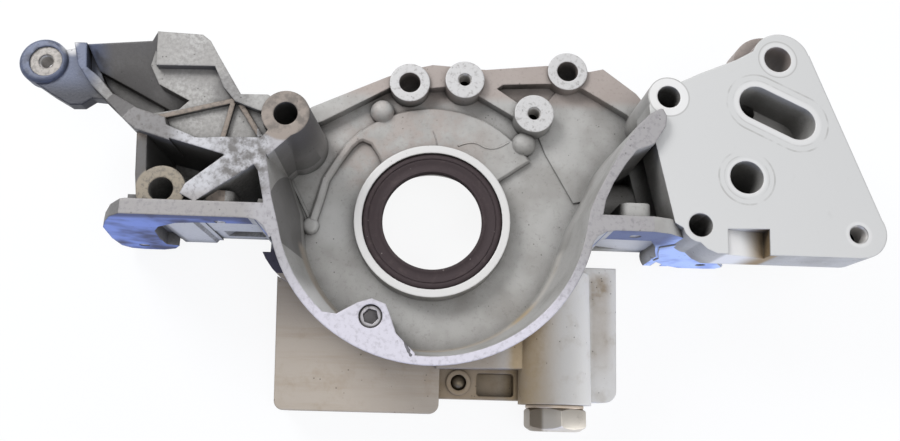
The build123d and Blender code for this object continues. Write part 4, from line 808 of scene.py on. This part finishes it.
@dataclass(frozen=True)
class SealRubber:
    """Dark moulded rubber with a dusty bloom.

    Attributes:
        name: Name of the material.
        colour: Its clean colour.
        bloom: Its colour where dust lies on it.
        roughness: Roughness where it is clean.
        nib: Colour of the scattered pale specks.
    """

    name: str = "seal_rubber"
    colour: Colour = tone(62, 53, 55)
    bloom: Colour = tone(84, 74, 73)
    roughness: float = 0.62
    nib: Colour = tone(150, 142, 140)

    def build(self) -> bpy.types.Material:
        """Makes the material.

        Returns:
            The finished material.
        """
        sheet = Sheet(self.name)
        dust = sheet.noise(0.004, 4.0, 0.65, 1.0)
        grain = sheet.noise(0.0005, 2.0, 0.5, 4.0)
        colour = sheet.mix(dust.ramp(0.5, 0.75) * 0.45, self.colour, self.bloom)
        nibs = (sheet.cells(0.0034) < 0.1) * sheet.noise(0.006, 2.0, 0.5, 8.0).ramp(0.50, 0.56)
        colour = sheet.mix(nibs * 0.5, colour, self.nib)
        rough = self.roughness + dust * 0.15
        normal = sheet.bump(grain, 0.2, 0.0001)
        return sheet.surface({"Base Color": colour, "Roughness": rough, "Normal": normal,
                              "Specular IOR Level": 0.2})


@dataclass(frozen=True)
class StudioPaper:
    """The pale floor: white to the camera, with a soft shadow.

    Attributes:
        name: Name of the material.
        colour: Its own colour.
        fibre: Colour of its fibres.
        glow: Share of plain white that the camera and reflections see.
    """

    name: str = "studio_paper"
    colour: Colour = (0.80, 0.84, 0.92)
    fibre: Colour = (0.7, 0.74, 0.8)
    glow: float = 0.9

    def build(self) -> bpy.types.Material:
        """Makes the material.

        Returns:
            The finished material.
        """
        sheet = Sheet(self.name)
        tint = sheet.mix(sheet.noise(0.004, 2.0, 0.5) * 0.04, self.colour, self.fibre)
        matt = sheet.node("ShaderNodeBsdfDiffuse", {}, {"Color": tint})
        white = sheet.node("ShaderNodeEmission", {}, {"Color": WHITE, "Strength": 1.0})
        seen = sheet.node("ShaderNodeLightPath", {}, {}, "Is Camera Ray")
        outputs = seen.socket.node.outputs
        for kind in ("Is Glossy Ray", "Is Transmission Ray"):
            seen = seen.largest(Wire(sheet, outputs[kind]))
        both = sheet.node("ShaderNodeMixShader", {}, {0: seen * self.glow, 1: matt, 2: white})
        return sheet.end(both)


class Bench:
    """Edit-mode steps that the pieces share."""

    @staticmethod
    def clear() -> None:
        """Leaves edit mode and deselects everything."""
        if bpy.context.mode != "OBJECT":
            bpy.ops.object.mode_set(mode="OBJECT")
        bpy.ops.object.select_all(action="DESELECT")

    @staticmethod
    def hold(piece: bpy.types.Object) -> None:
        """Makes a piece the only one selected, and active."""
        Bench.clear()
        piece.select_set(True)
        bpy.context.view_layer.objects.active = piece

    @staticmethod
    def turned(name: str, profile: Sequence[Spot], steps: int, ring: bool) -> bpy.types.Object:
        """Turns a section about Z, step by step, as on a lathe.

        Args:
            name: Name of the piece.
            profile: Radius and height of each point, in millimetres, anticlockwise in the section.
            steps: Number of sides.
            ring: Whether the section closes on itself, as a washer's does. Otherwise the piece
                ends in two flat faces.

        Returns:
            The piece, centred on the origin.
        """
        Bench.clear()
        radius, height = profile[0]
        bpy.ops.mesh.primitive_circle_add(vertices=steps, radius=radius * MM,
                                          fill_type="NOTHING", location=(0, 0, height * MM))
        piece = bpy.context.active_object
        piece.name = name
        Bench.hold(piece)
        bpy.ops.object.transform_apply(location=True, rotation=True, scale=True)
        bpy.ops.object.mode_set(mode="EDIT")
        bpy.ops.mesh.select_all(action="SELECT")
        if not ring:
            bpy.ops.mesh.edge_face_add()
            bpy.ops.mesh.select_all(action="SELECT")
        for (old_radius, old_height), (new_radius, new_height) in zip(profile, profile[1:]):
            bpy.ops.mesh.extrude_region_move(
                TRANSFORM_OT_translate={"value": (0, 0, (new_height - old_height) * MM)})
            share = new_radius / old_radius
            bpy.ops.transform.resize(value=(share, share, 1.0),
                                     center_override=(0, 0, new_height * MM))
        if ring:
            bpy.ops.mesh.select_all(action="DESELECT")
            bpy.ops.mesh.select_mode(type="EDGE")
            bpy.ops.mesh.select_non_manifold()
            bpy.ops.mesh.bridge_edge_loops()
        bpy.ops.mesh.select_all(action="SELECT")
        bpy.ops.mesh.remove_doubles(threshold=SAME_POINT)
        bpy.ops.mesh.normals_make_consistent(inside=False)
        bpy.ops.object.mode_set(mode="OBJECT")
        return piece

    @staticmethod
    def hexagon(name: str, across: float, depth: float, middle: float) -> bpy.types.Object:
        """Adds a six-sided bar along Z.

        Args:
            name: Name of the piece.
            across: Width across its flats in millimetres.
            depth: Its length in millimetres.
            middle: Height of its middle in millimetres.

        Returns:
            The bar.
        """
        Bench.clear()
        bpy.ops.mesh.primitive_cylinder_add(
            vertices=6, radius=across / 2 / math.cos(math.pi / 6) * MM, depth=depth * MM,
            location=(0, 0, middle * MM))
        piece = bpy.context.active_object
        piece.name = name
        return piece

    @staticmethod
    def place(piece: bpy.types.Object, where: Matrix) -> None:
        """Moves a piece and puts its place in its mesh.

        Args:
            piece: The piece.
            where: Its place and turn.
        """
        piece.matrix_world = where
        Bench.hold(piece)
        bpy.ops.object.transform_apply(location=True, rotation=True, scale=True)

    @staticmethod
    def joined_copy(name: str, source: bpy.types.Object) -> bpy.types.Object:
        """Copies a node of the frame and joins its loose faces.

        Args:
            name: Name of the copy.
            source: The node.

        Returns:
            The copy, with no sharp marks or normals of its own.
        """
        Bench.clear()
        mesh = source.data.copy()
        piece = bpy.data.objects.new(name, mesh)
        bpy.context.scene.collection.objects.link(piece)
        Bench.hold(piece)
        bpy.ops.object.mode_set(mode="EDIT")
        bpy.ops.mesh.select_all(action="SELECT")
        bpy.ops.mesh.remove_doubles(threshold=SAME_CORNER)
        bpy.ops.object.mode_set(mode="OBJECT")
        if mesh.has_custom_normals:
            bpy.ops.mesh.customdata_custom_splitnormals_clear()
        bpy.ops.object.mode_set(mode="EDIT")
        bpy.ops.mesh.select_all(action="SELECT")
        bpy.ops.mesh.mark_sharp(clear=True)
        bpy.ops.object.mode_set(mode="OBJECT")
        return piece

    @staticmethod
    def smooth(piece: bpy.types.Object, degrees: float) -> None:
        """Shades a piece smooth where its faces meet at a small angle."""
        Bench.hold(piece)
        bpy.ops.object.shade_smooth_by_angle(angle=math.radians(degrees))

    @staticmethod
    def cut(piece: bpy.types.Object, cutter: bpy.types.Object,
            operation: str = "DIFFERENCE") -> None:
        """Cuts a piece with another and removes the cutter.

        Args:
            piece: What is cut.
            cutter: What it is cut with.
            operation: Name of the boolean.
        """
        Bench.hold(piece)
        step = piece.modifiers.new("cut", "BOOLEAN")
        step.operation = operation
        step.solver = "EXACT"
        step.object = cutter
        bpy.ops.object.modifier_apply(modifier=step.name)
        bpy.data.objects.remove(cutter, do_unlink=True)

    @staticmethod
    def ease(piece: bpy.types.Object, width: float, degrees: float) -> None:
        """Rounds the edges of a piece that are sharper than an angle, in two steps.

        Args:
            piece: The piece.
            width: Width of the rounding in metres.
            degrees: The angle.
        """
        Bench.hold(piece)
        step = piece.modifiers.new("ease", "BEVEL")
        step.width = width
        step.segments = 2
        step.limit_method = "ANGLE"
        step.angle_limit = math.radians(degrees)
        bpy.ops.object.modifier_apply(modifier=step.name)

    @staticmethod
    def dress(piece: bpy.types.Object, material: bpy.types.Material, body: Body, slot: Slot,
              stands_for: Iterable[str] = ()) -> bpy.types.Object:
        """Gives a piece its finish, its body and the nodes that it stands for.

        Args:
            piece: The finished piece.
            material: Its finish.
            body: The body that it moves with.
            slot: The record's slot for its finish; not used.
            stands_for: Names of the nodes that it replaces.

        Returns:
            The piece.
        """
        piece.data.materials.clear()
        piece.data.materials.append(material)
        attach(piece, body.value)
        names = list(stands_for)
        if names:
            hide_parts(*names)
        LOG.info("made %s with %d faces", piece.name, len(piece.data.polygons))
        return piece


@dataclass
class Casting:
    """The front case, a copy of the solid with joined faces and one smooth skin."""

    node: str = "front_case"
    smooth_below: float = 28.0

    def build(self, nodes: Nodes, material: bpy.types.Material) -> bpy.types.Object:
        """Copies the node, joins its loose faces and dresses the copy.

        Args:
            nodes: The frame's nodes.
            material: Finish of the casting.

        Returns:
            The copy that is shown.
        """
        piece = Bench.joined_copy("pump_case_casting", nodes[self.node])
        Bench.smooth(piece, self.smooth_below)
        step = piece.modifiers.new("flat_faces", "WEIGHTED_NORMAL")
        step.keep_sharp = True
        step.weight = 100
        bpy.ops.object.modifier_apply(modifier=step.name)
        return Bench.dress(piece, material, Body.CASE, Slot.CASTING, [self.node])


@dataclass
class ReliefSpring:
    """The relief valve's coil spring. The real one shortens as the plunger gives way; this copy
    keeps its shape.

    Its axis and ends are in millimetres.
    """

    node: str = "relief_spring"
    x: float = 62.0
    z: float = 18.5
    crown: float = -40.0
    seat: float = -76.4

    def build(self, nodes: Nodes, material: bpy.types.Material) -> bpy.types.Object:
        """Copies the node, joins and smooths the copy, gives it its finish and hides the node.

        Args:
            nodes: The frame's nodes.
            material: Finish of the wire.

        Returns:
            The copy that is shown.
        """
        piece = Bench.joined_copy("relief_valve_spring", nodes[self.node])
        Bench.smooth(piece, 50.0)
        piece.data.materials.clear()
        piece.data.materials.append(material)
        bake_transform(piece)
        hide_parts(self.node)
        LOG.info("made %s with %d faces", piece.name, len(piece.data.polygons))
        return piece


@dataclass
class CrankSeal:
    """The crank oil seal with its dust lip, face grooves and sealing lip, in millimetres."""

    outside: float = 34.0
    front: float = 37.4
    back: float = 29.8
    lip: float = 24.2
    steps: int = 160

    def build(self, material: bpy.types.Material) -> bpy.types.Object:
        """Turns the rubber body and dresses it.

        Args:
            material: Its finish.

        Returns:
            The finished piece.
        """
        outside, front, back, lip = self.outside, self.front, self.back, self.lip
        rubber_edge = ((0.0, 1.4), (0.25, 0.9), (0.9, 0.35), (1.5, 0.1), (2.3, 0.0), (2.8, 0.15),
                       (3.0, 0.55), (3.25, 0.55), (3.45, 0.2), (4.2, 0.25), (5.2, 0.75))
        sealing_lip = ((2.6, 0.95), (1.8, 0.55), (1.1, 0.25), (0.35, 0.3), (0.02, 0.7), (0.0, 1.2),
                       (0.35, 1.9), (0.9, 2.8), (0.5, 3.6), (0.0, 4.2), (0.8, 6.0), (1.6, 6.4),
                       (2.2, 5.0), (2.0, 2.6))
        hollow = ((3.2, 2.4), (3.2, 1.6), (1.0, 1.6))
        profile = [(outside, back)]
        profile += [(outside - inset, front - depth) for inset, depth in rubber_edge]
        profile += [(lip + rise, front - depth) for rise, depth in sealing_lip]
        profile += [(outside - inset, front - depth) for inset, depth in hollow]
        profile += [(outside - 1.0, back)]
        piece = Bench.turned("crank_seal_body", profile, self.steps, ring=True)
        Bench.smooth(piece, 40.0)
        return Bench.dress(piece, material, Body.CASE, Slot.SEAL_RUBBER, ["crank_seal_rubber"])


@dataclass
class ReliefPlug:
    """Hexagon plug of the relief valve and its washer, in millimetres."""

    x: float = 62.0
    z: float = 18.5
    seat: float = -85.4
    washer: float = 1.8
    washer_radius: float = 14.0
    hexagon: float = 27.0
    head: float = 10.6
    turn: float = 27.0
    thread: float = 11.0
    pitch: float = 1.5
    top: float = -76.4

    def _upright(self, height: float) -> Matrix:
        """Puts +Z of a turned piece along +Y of the pump, from a height on the plug's axis."""
        return (Matrix.Translation(Vector((self.x, height, self.z)) * MM)
                @ Matrix.Rotation(math.radians(-90), 4, "X"))

    def build_plug(self, material: bpy.types.Material) -> bpy.types.Object:
        """Makes the plug from a six-sided blank that a turned shape trims.

        Args:
            material: Its finish.

        Returns:
            The finished piece.
        """
        bottom = self.seat - self.washer - self.head
        half = self.hexagon / 2
        piece = Bench.hexagon("relief_valve_plug", self.hexagon, self.head, self.head / 2)
        Bench.place(piece, Matrix.Rotation(math.radians(30 - self.turn), 4, "Z")
                    @ Matrix.Translation((0, 0, self.head / 2 * MM)))
        shape = [(half - 3.2, 0.0), (half - 1.6, 0.25), (half - 0.9, 0.7), (half + 1.5, 2.2),
                 (half + 2.6, 3.4), (half + 2.6, self.head - 1.4), (half + 0.8, self.head - 0.4),
                 (half - 0.2, self.head)]
        Bench.cut(piece, Bench.turned("trim", shape, 96, ring=False), "INTERSECT")
        rise = self.head + self.washer + 0.3
        neck = [(self.thread - 1.6, self.head - 0.2), (self.thread - 1.6, rise)]
        end = self.top - bottom
        while rise + self.pitch < end - 0.6:
            neck += [(self.thread - 1.1, rise + 0.2), (self.thread - 0.05, rise + 0.7),
                     (self.thread - 0.05, rise + 0.85), (self.thread - 1.1, rise + 1.4)]
            rise += self.pitch
        neck += [(self.thread - 1.4, end - 0.4), (self.thread - 2.0, end)]
        Bench.cut(piece, Bench.turned("neck", neck, 64, ring=False), "UNION")
        Bench.place(piece, self._upright(bottom))
        Bench.ease(piece, 0.25 * MM, 40.0)
        Bench.smooth(piece, 30.0)
        return Bench.dress(piece, material, Body.CASE, Slot.PLUG, ["relief_plug"])

    def build_washer(self, material: bpy.types.Material) -> bpy.types.Object:
        """Makes the crushed sealing washer.

        Args:
            material: Its finish.

        Returns:
            The finished piece.
        """
        inner = self.thread + 0.2
        outer = self.washer_radius
        thick = self.washer
        profile = [(inner, 0.15), (inner + 0.2, 0.0), (outer - 0.5, 0.0), (outer - 0.12, 0.25),
                   (outer, thick / 2), (outer - 0.12, thick - 0.25), (outer - 0.5, thick),
                   (inner + 0.2, thick), (inner, thick - 0.15)]
        piece = Bench.turned("relief_plug_washer", profile, 96, ring=True)
        Bench.place(piece, self._upright(self.seat - thick))
        Bench.smooth(piece, 40.0)
        return Bench.dress(piece, material, Body.CASE, Slot.GASKET, ["relief_plug_gasket"])


@dataclass
class SocketPlug:
    """Socket plug in the lobe of the rim, in millimetres."""

    x: float = -25.2
    y: float = -52.1
    top: float = 75.2
    foot: float = 67.0
    radius: float = 5.0
    across: float = 6.0
    socket_depth: float = 5.2

    def build(self, material: bpy.types.Material) -> bpy.types.Object:
        """Turns the plug and sinks its six-sided socket.

        Args:
            material: Its finish.

        Returns:
            The finished piece.
        """
        r, top = self.radius, self.top
        profile = [(r - 0.8, self.foot), (r - 0.1, self.foot + 0.7), (r - 0.1, top - 0.8),
                   (r - 0.7, top - 0.1), (r - 1.0, top)]
        piece = Bench.turned("rim_socket_plug", profile, 64, ring=False)
        cutter = Bench.hexagon("socket", self.across, self.socket_depth * 2, top)
        Bench.place(cutter, Matrix.Translation((0, 0, top * MM))
                    @ Matrix.Rotation(math.radians(15), 4, "Z"))
        Bench.cut(piece, cutter)
        Bench.place(piece, Matrix.Translation((self.x * MM, self.y * MM, 0)))
        Bench.smooth(piece, 32.0)
        return Bench.dress(piece, material, Body.CASE, Slot.SOCKET_PLUG, ["bowl_plug"])


@dataclass
class ThreadSleeves:
    """The cut threads in the tapped holes, in millimetres.

    Attributes:
        small: X, y and top of the small holes along Z.
        large: X, y and top of the large hole along Z.
        rail: Height of the sump's rail.
        rail_holes: X and Z of the holes in that rail.
        small_radius: Radius of the small holes.
        large_radius: Radius of the large hole.
        turns: Turns of thread in a sleeve.
        sunk: Depth of a sleeve's top below the face.
    """

    small: tuple[Point, ...] = ((14.3, 73.6, 38.0), (49.5, 56.8, 38.0), (-183.4, 64.6, 59.4))
    large: Point = (190.6, -8.5, 72.0)
    rail: float = -11.5
    rail_holes: tuple[Spot, ...] = ((-94.0, 66.0), (91.0, 66.0), (-145.0, 10.0), (140.0, 10.0))
    small_radius: float = 3.4
    large_radius: float = 4.25
    turns: int = 7
    sunk: float = 0.35

    def _model(self, radius: float) -> bpy.types.Object:
        """Turns one sleeve whose top is at the origin.

        Args:
            radius: Radius of its hole.

        Returns:
            The sleeve.
        """
        pitch = radius * 0.37
        outer = radius - 0.03
        inner = radius - 0.55
        low = -self.sunk - pitch * self.turns
        profile = [(outer, -self.sunk), (outer, low)]
        for turn in range(self.turns):
            rise = low + turn * pitch
            profile += [(inner, rise + pitch * 0.15), (inner, rise + pitch * 0.3),
                        (outer - 0.1, rise + pitch * 0.7), (outer - 0.1, rise + pitch * 0.85)]
        piece = Bench.turned("thread_sleeve", profile, 40, ring=True)
        Bench.smooth(piece, 30.0)
        return piece

    def build(self, material: bpy.types.Material) -> None:
        """Models one sleeve a size and puts a copy in every hole.

        Args:
            material: Their finish.
        """
        sizes = (self.small_radius, self.large_radius, RAIL_HOLE_RADIUS)
        models = {radius: self._model(radius) for radius in sizes}
        upright = [(self.small_radius, place) for place in self.small]
        upright += [(self.large_radius, self.large)]
        places = [(radius, Matrix.Translation(Vector(place) * MM)) for radius, place in upright]
        down = Matrix.Rotation(math.radians(90), 4, "X")
        places += [(RAIL_HOLE_RADIUS, Matrix.Translation(Vector((x, self.rail, z)) * MM) @ down)
                   for x, z in self.rail_holes]
        for number, (radius, where) in enumerate(places, 1):
            piece = bpy.data.objects.new(f"thread_sleeve_{number}", models[radius].data.copy())
            bpy.context.scene.collection.objects.link(piece)
            Bench.place(piece, where)
            Bench.dress(piece, material, Body.CASE, Slot.CASTING)
        for model in models.values():
            bpy.data.objects.remove(model, do_unlink=True)


@dataclass
class RailPad:
    """The right end pad of the sump's rail, which closes the rail under the low bolt hole.

    Attributes:
        outline: X and Z of its corners in millimetres.
        top: Height of its upper side in millimetres.
        low: Height of its lower side in millimetres.
        hole: X and Z of its tapped hole in millimetres.
    """

    outline: tuple[Spot, ...] = (
        (107.5, 47.0), (110.5, 34.6), (114.5, 22.0), (113.5, 16.5), (122.0, 6.2), (131.0, 0.4),
        (145.0, 0.4), (150.8, 1.3), (152.9, 6.0), (149.1, 12.0), (127.1, 50.2), (118.3, 60.6))
    top: float = -11.4
    low: float = -12.3
    hole: Spot = (140.0, 10.0)

    def build(self, material: bpy.types.Material) -> bpy.types.Object:
        """Draws the outline, gives it its thickness, drills it and dresses it.

        Args:
            material: Its finish.

        Returns:
            The finished piece.
        """
        Bench.clear()
        bpy.ops.mesh.primitive_circle_add(vertices=len(self.outline), radius=20 * MM,
                                          fill_type="NGON")
        piece = bpy.context.active_object
        piece.name = "right_rail_pad"
        for vertex, (x, z) in zip(piece.data.vertices, self.outline):
            vertex.co = Vector((x, self.low, z)) * MM
        Bench.hold(piece)
        bpy.ops.object.mode_set(mode="EDIT")
        bpy.ops.mesh.select_all(action="SELECT")
        bpy.ops.mesh.extrude_region_move(
            TRANSFORM_OT_translate={"value": (0, (self.top - self.low) * MM, 0)})
        bpy.ops.mesh.select_all(action="SELECT")
        bpy.ops.mesh.normals_make_consistent(inside=False)
        bpy.ops.object.mode_set(mode="OBJECT")
        Bench.clear()
        bpy.ops.mesh.primitive_cylinder_add(vertices=40, radius=RAIL_HOLE_RADIUS * MM, depth=8 * MM)
        drill = bpy.context.active_object
        x, z = self.hole
        Bench.place(drill, Matrix.Translation(Vector((x, self.low, z)) * MM)
                    @ Matrix.Rotation(math.radians(90), 4, "X"))
        Bench.cut(piece, drill)
        Bench.ease(piece, 0.25 * MM, 50.0)
        Bench.smooth(piece, 30.0)
        return Bench.dress(piece, material, Body.CASE, Slot.CASTING)


@dataclass
class CastRidge:
    """A low ridge that the die leaves on the casting, along a line.

    Attributes:
        name: Name of the piece.
        line: Its points in millimetres.
        width: Width at its foot in millimetres.
    """

    name: str
    line: Sequence[Point]
    width: float

    def build(self, material: bpy.types.Material) -> bpy.types.Object:
        """Lays a round bar along the line and dresses it.

        Args:
            material: Its finish.

        Returns:
            The finished piece.
        """
        Bench.clear()
        curve = bpy.data.curves.new(self.name, "CURVE")
        curve.dimensions = "3D"
        spline = curve.splines.new("NURBS")
        spline.points.add(len(self.line) - 1)
        for point, place in zip(spline.points, self.line):
            point.co = (*(part * MM for part in place), 1.0)
        spline.order_u = 3
        spline.use_endpoint_u = True
        curve.bevel_depth = self.width / 2 * MM
        curve.bevel_resolution = 3
        curve.use_fill_caps = True
        curve.resolution_u = 8
        line = bpy.data.objects.new(self.name, curve)
        bpy.context.scene.collection.objects.link(line)
        Bench.hold(line)
        bpy.ops.object.convert(target="MESH")
        piece = bpy.context.active_object
        Bench.smooth(piece, 60.0)
        return Bench.dress(piece, material, Body.CASE, Slot.CASTING)


@dataclass(frozen=True)
class Photographer:
    """The camera, the lamps and the floor.

    Attributes:
        place: Where the camera stands, in millimetres.
        tilt: Degrees that it looks up.
        yaw: Degrees that it looks to the right.
        roll: Degrees that it is rolled.
        lens: Its focal length in millimetres.
        sensor: Width of its film in millimetres.
        air: Colour of the light from all round.
        air_strength: Strength of that light.
        lamps: Name, place, aim, side, power and colour of each lamp, in metres and watts.
    """

    place: Point = (-4.859, -93.627, 412.914)
    tilt: float = 14.0
    yaw: float = 2.05
    roll: float = 1.5
    lens: float = 32.0
    sensor: float = 36.0
    air: Colour = (0.94, 0.96, 1.0)
    air_strength: float = 0.34
    lamps: tuple[tuple[str, Point, Point, float, float, Colour], ...] = (
        ("key_lamp", (-0.60, 0.62, 0.80), (0.0, 0.0, 0.03), 0.45, 9.2, WHITE),
        ("front_lamp", (0.25, -0.25, 1.3), (0.0, 0.0, 0.03), 0.8, 6.6, WHITE),
        ("fill_lamp", (0.15, 0.85, 0.50), (0.0, -0.02, 0.04), 0.4, 2.2, WHITE),
        ("low_lamp", (0.0, -0.80, 0.06), (0.0, 0.0, 0.05), 0.6, 3.6, (0.42, 0.55, 1.0)),
        ("side_lamp", (0.55, -0.35, 0.12), (0.07, -0.05, 0.02), 0.3, 1.3, WHITE))

    def set_camera(self) -> None:
        """Puts the camera where the photograph was taken from."""
        tilt, yaw, roll = (math.radians(angle) for angle in (self.tilt, self.yaw, self.roll))
        level = math.cos(tilt)
        aim = Vector((math.sin(yaw) * level, math.sin(tilt), -math.cos(yaw) * level))
        right = aim.cross(Vector((0, 1, 0))).normalized()
        up = right.cross(aim)
        turned_right = right * math.cos(roll) + up * math.sin(roll)
        turned_up = up * math.cos(roll) - right * math.sin(roll)
        data = bpy.data.cameras.new("photo_camera")
        data.lens = self.lens
        data.sensor_width = self.sensor
        data.sensor_fit = "HORIZONTAL"
        data.clip_start = 0.01
        data.clip_end = 20.0
        camera = bpy.data.objects.new("photo_camera", data)
        bpy.context.scene.collection.objects.link(camera)
        turn = Matrix((turned_right, turned_up, -aim)).transposed().to_4x4()
        camera.matrix_world = Matrix.Translation(Vector(self.place) * MM) @ turn
        bpy.context.scene.camera = camera

    def add_lamp(self, name: str, place: Point, aim: Point, size: float, power: float,
                 colour: Colour) -> None:
        """Hangs one soft lamp.

        Args:
            name: Name of the lamp.
            place: Where it hangs, in metres.
            aim: The point that it faces.
            size: Side of its square in metres.
            power: Its power in watts.
            colour: Its colour.
        """
        data = bpy.data.lights.new(name, "AREA")
        data.shape = "SQUARE"
        data.size = size
        data.energy = power
        data.color = colour
        lamp = bpy.data.objects.new(name, data)
        bpy.context.scene.collection.objects.link(lamp)
        lamp.location = place
        lamp.rotation_euler = (Vector(aim) - Vector(place)).to_track_quat("-Z", "Y").to_euler()

    def set_light(self) -> None:
        """Lights the pump softly, mostly from the upper left."""
        world = bpy.data.worlds.new("studio_air")
        world.use_nodes = True
        air = world.node_tree.nodes["Background"].inputs
        air["Color"].default_value = (*self.air, 1.0)
        air["Strength"].default_value = self.air_strength
        bpy.context.scene.world = world
        for lamp in self.lamps:
            self.add_lamp(*lamp)

    def lay_floor(self) -> None:
        """Lays the flat floor that the pump lies on."""
        Bench.clear()
        bpy.ops.mesh.primitive_plane_add(size=4.0, location=(0, 0, 0))
        floor = bpy.context.active_object
        floor.name = "studio_floor"
        floor.data.materials.append(StudioPaper().build())


def dress_nodes(nodes: Nodes) -> None:
    """Gives each of the frame's nodes that is shown as it is its own finish.

    Args:
        nodes: The frame's nodes.
    """
    finishes = {
        "crank_seal_case": TurnedMetal("pressed_steel", tone(150, 150, 152), tone(96, 90, 82)),
        "crank_seal_spring": TurnedMetal("garter_wire", tone(176, 176, 178), tone(110, 106, 100),
                                         0.2),
        "inner_rotor": TurnedMetal("sintered_rotor", tone(140, 138, 135), tone(92, 84, 74), 0.5,
                                   0.42),
        "outer_rotor": TurnedMetal("sintered_ring", tone(132, 131, 129), tone(88, 82, 74), 0.5,
                                   0.44),
        "pump_cover": TurnedMetal("ground_iron", tone(142, 140, 137), tone(98, 90, 80), 0.5, 0.4),
        "cover_screws": TurnedMetal("zinc_screw", tone(168, 165, 150), tone(110, 102, 82), 0.35,
                                    0.36),
        "cover_dowels": TurnedMetal("ground_dowel", tone(178, 178, 180), tone(120, 116, 110), 0.2,
                                    0.25),
        "relief_plunger": TurnedMetal("hardened_plunger", tone(170, 170, 172),
                                      tone(112, 108, 102), 0.25, 0.22),
        "gallery_ball_plug": TurnedMetal("ball_steel", tone(118, 108, 92), tone(70, 60, 46), 0.6,
                                         0.4),
        "delivery_core_plug": TurnedMetal("yellow_zinc_cup", tone(176, 158, 112),
                                          tone(120, 100, 66), 0.4, 0.36),
        "gallery_o_ring": SealRubber("nitrile_ring", tone(30, 30, 31), tone(58, 56, 54), 0.42),
    }
    for name, finish in finishes.items():
        node = nodes[name]
        node.data.materials.clear()
        node.data.materials.append(finish.build())
        LOG.info("dressed %s", name)


def main() -> None:
    """Builds the scene, piece by piece."""
    logging.basicConfig(level=logging.INFO, format="%(message)s")
    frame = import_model()
    bpy.context.scene.view_settings.view_transform = "Standard"
    crew = Photographer()
    crew.set_camera()
    crew.set_light()
    crew.lay_floor()
    casting = CastAluminium().build()
    Casting().build(frame["nodes"], casting)
    dress_nodes(frame["nodes"])
    spring_wire = TurnedMetal("spring_wire", tone(126, 124, 120), tone(78, 70, 60), 0.45, 0.38)
    ReliefSpring().build(frame["nodes"], spring_wire.build())
    CrankSeal().build(SealRubber().build())
    plug = ReliefPlug()
    plug_steel = TurnedMetal("plug_steel", tone(208, 201, 190), tone(112, 98, 78), 0.4, 0.34, 0.6,
                             dark_before=0.0535)
    plug.build_plug(plug_steel.build())
    copper = TurnedMetal("washer_copper", tone(222, 208, 192), tone(136, 118, 94), 0.4, 0.42, 0.6)
    plug.build_washer(copper.build())
    socket = TurnedMetal("socket_plug", tone(172, 169, 172), tone(92, 88, 86), 0.5, 0.44, 0.5)
    SocketPlug().build(socket.build())
    thread = TurnedMetal("cut_thread", tone(206, 204, 202), tone(120, 112, 104), 0.3, 0.36, 0.6)
    ThreadSleeves().build(thread.build())
    RailPad().build(casting)
    CastRidge("flow_line", FLOW_LINE, 1.2).build(casting)
    CastRidge("short_crease", SHORT_CREASE, 0.7).build(casting)


if __name__ == "__main__":
    main()
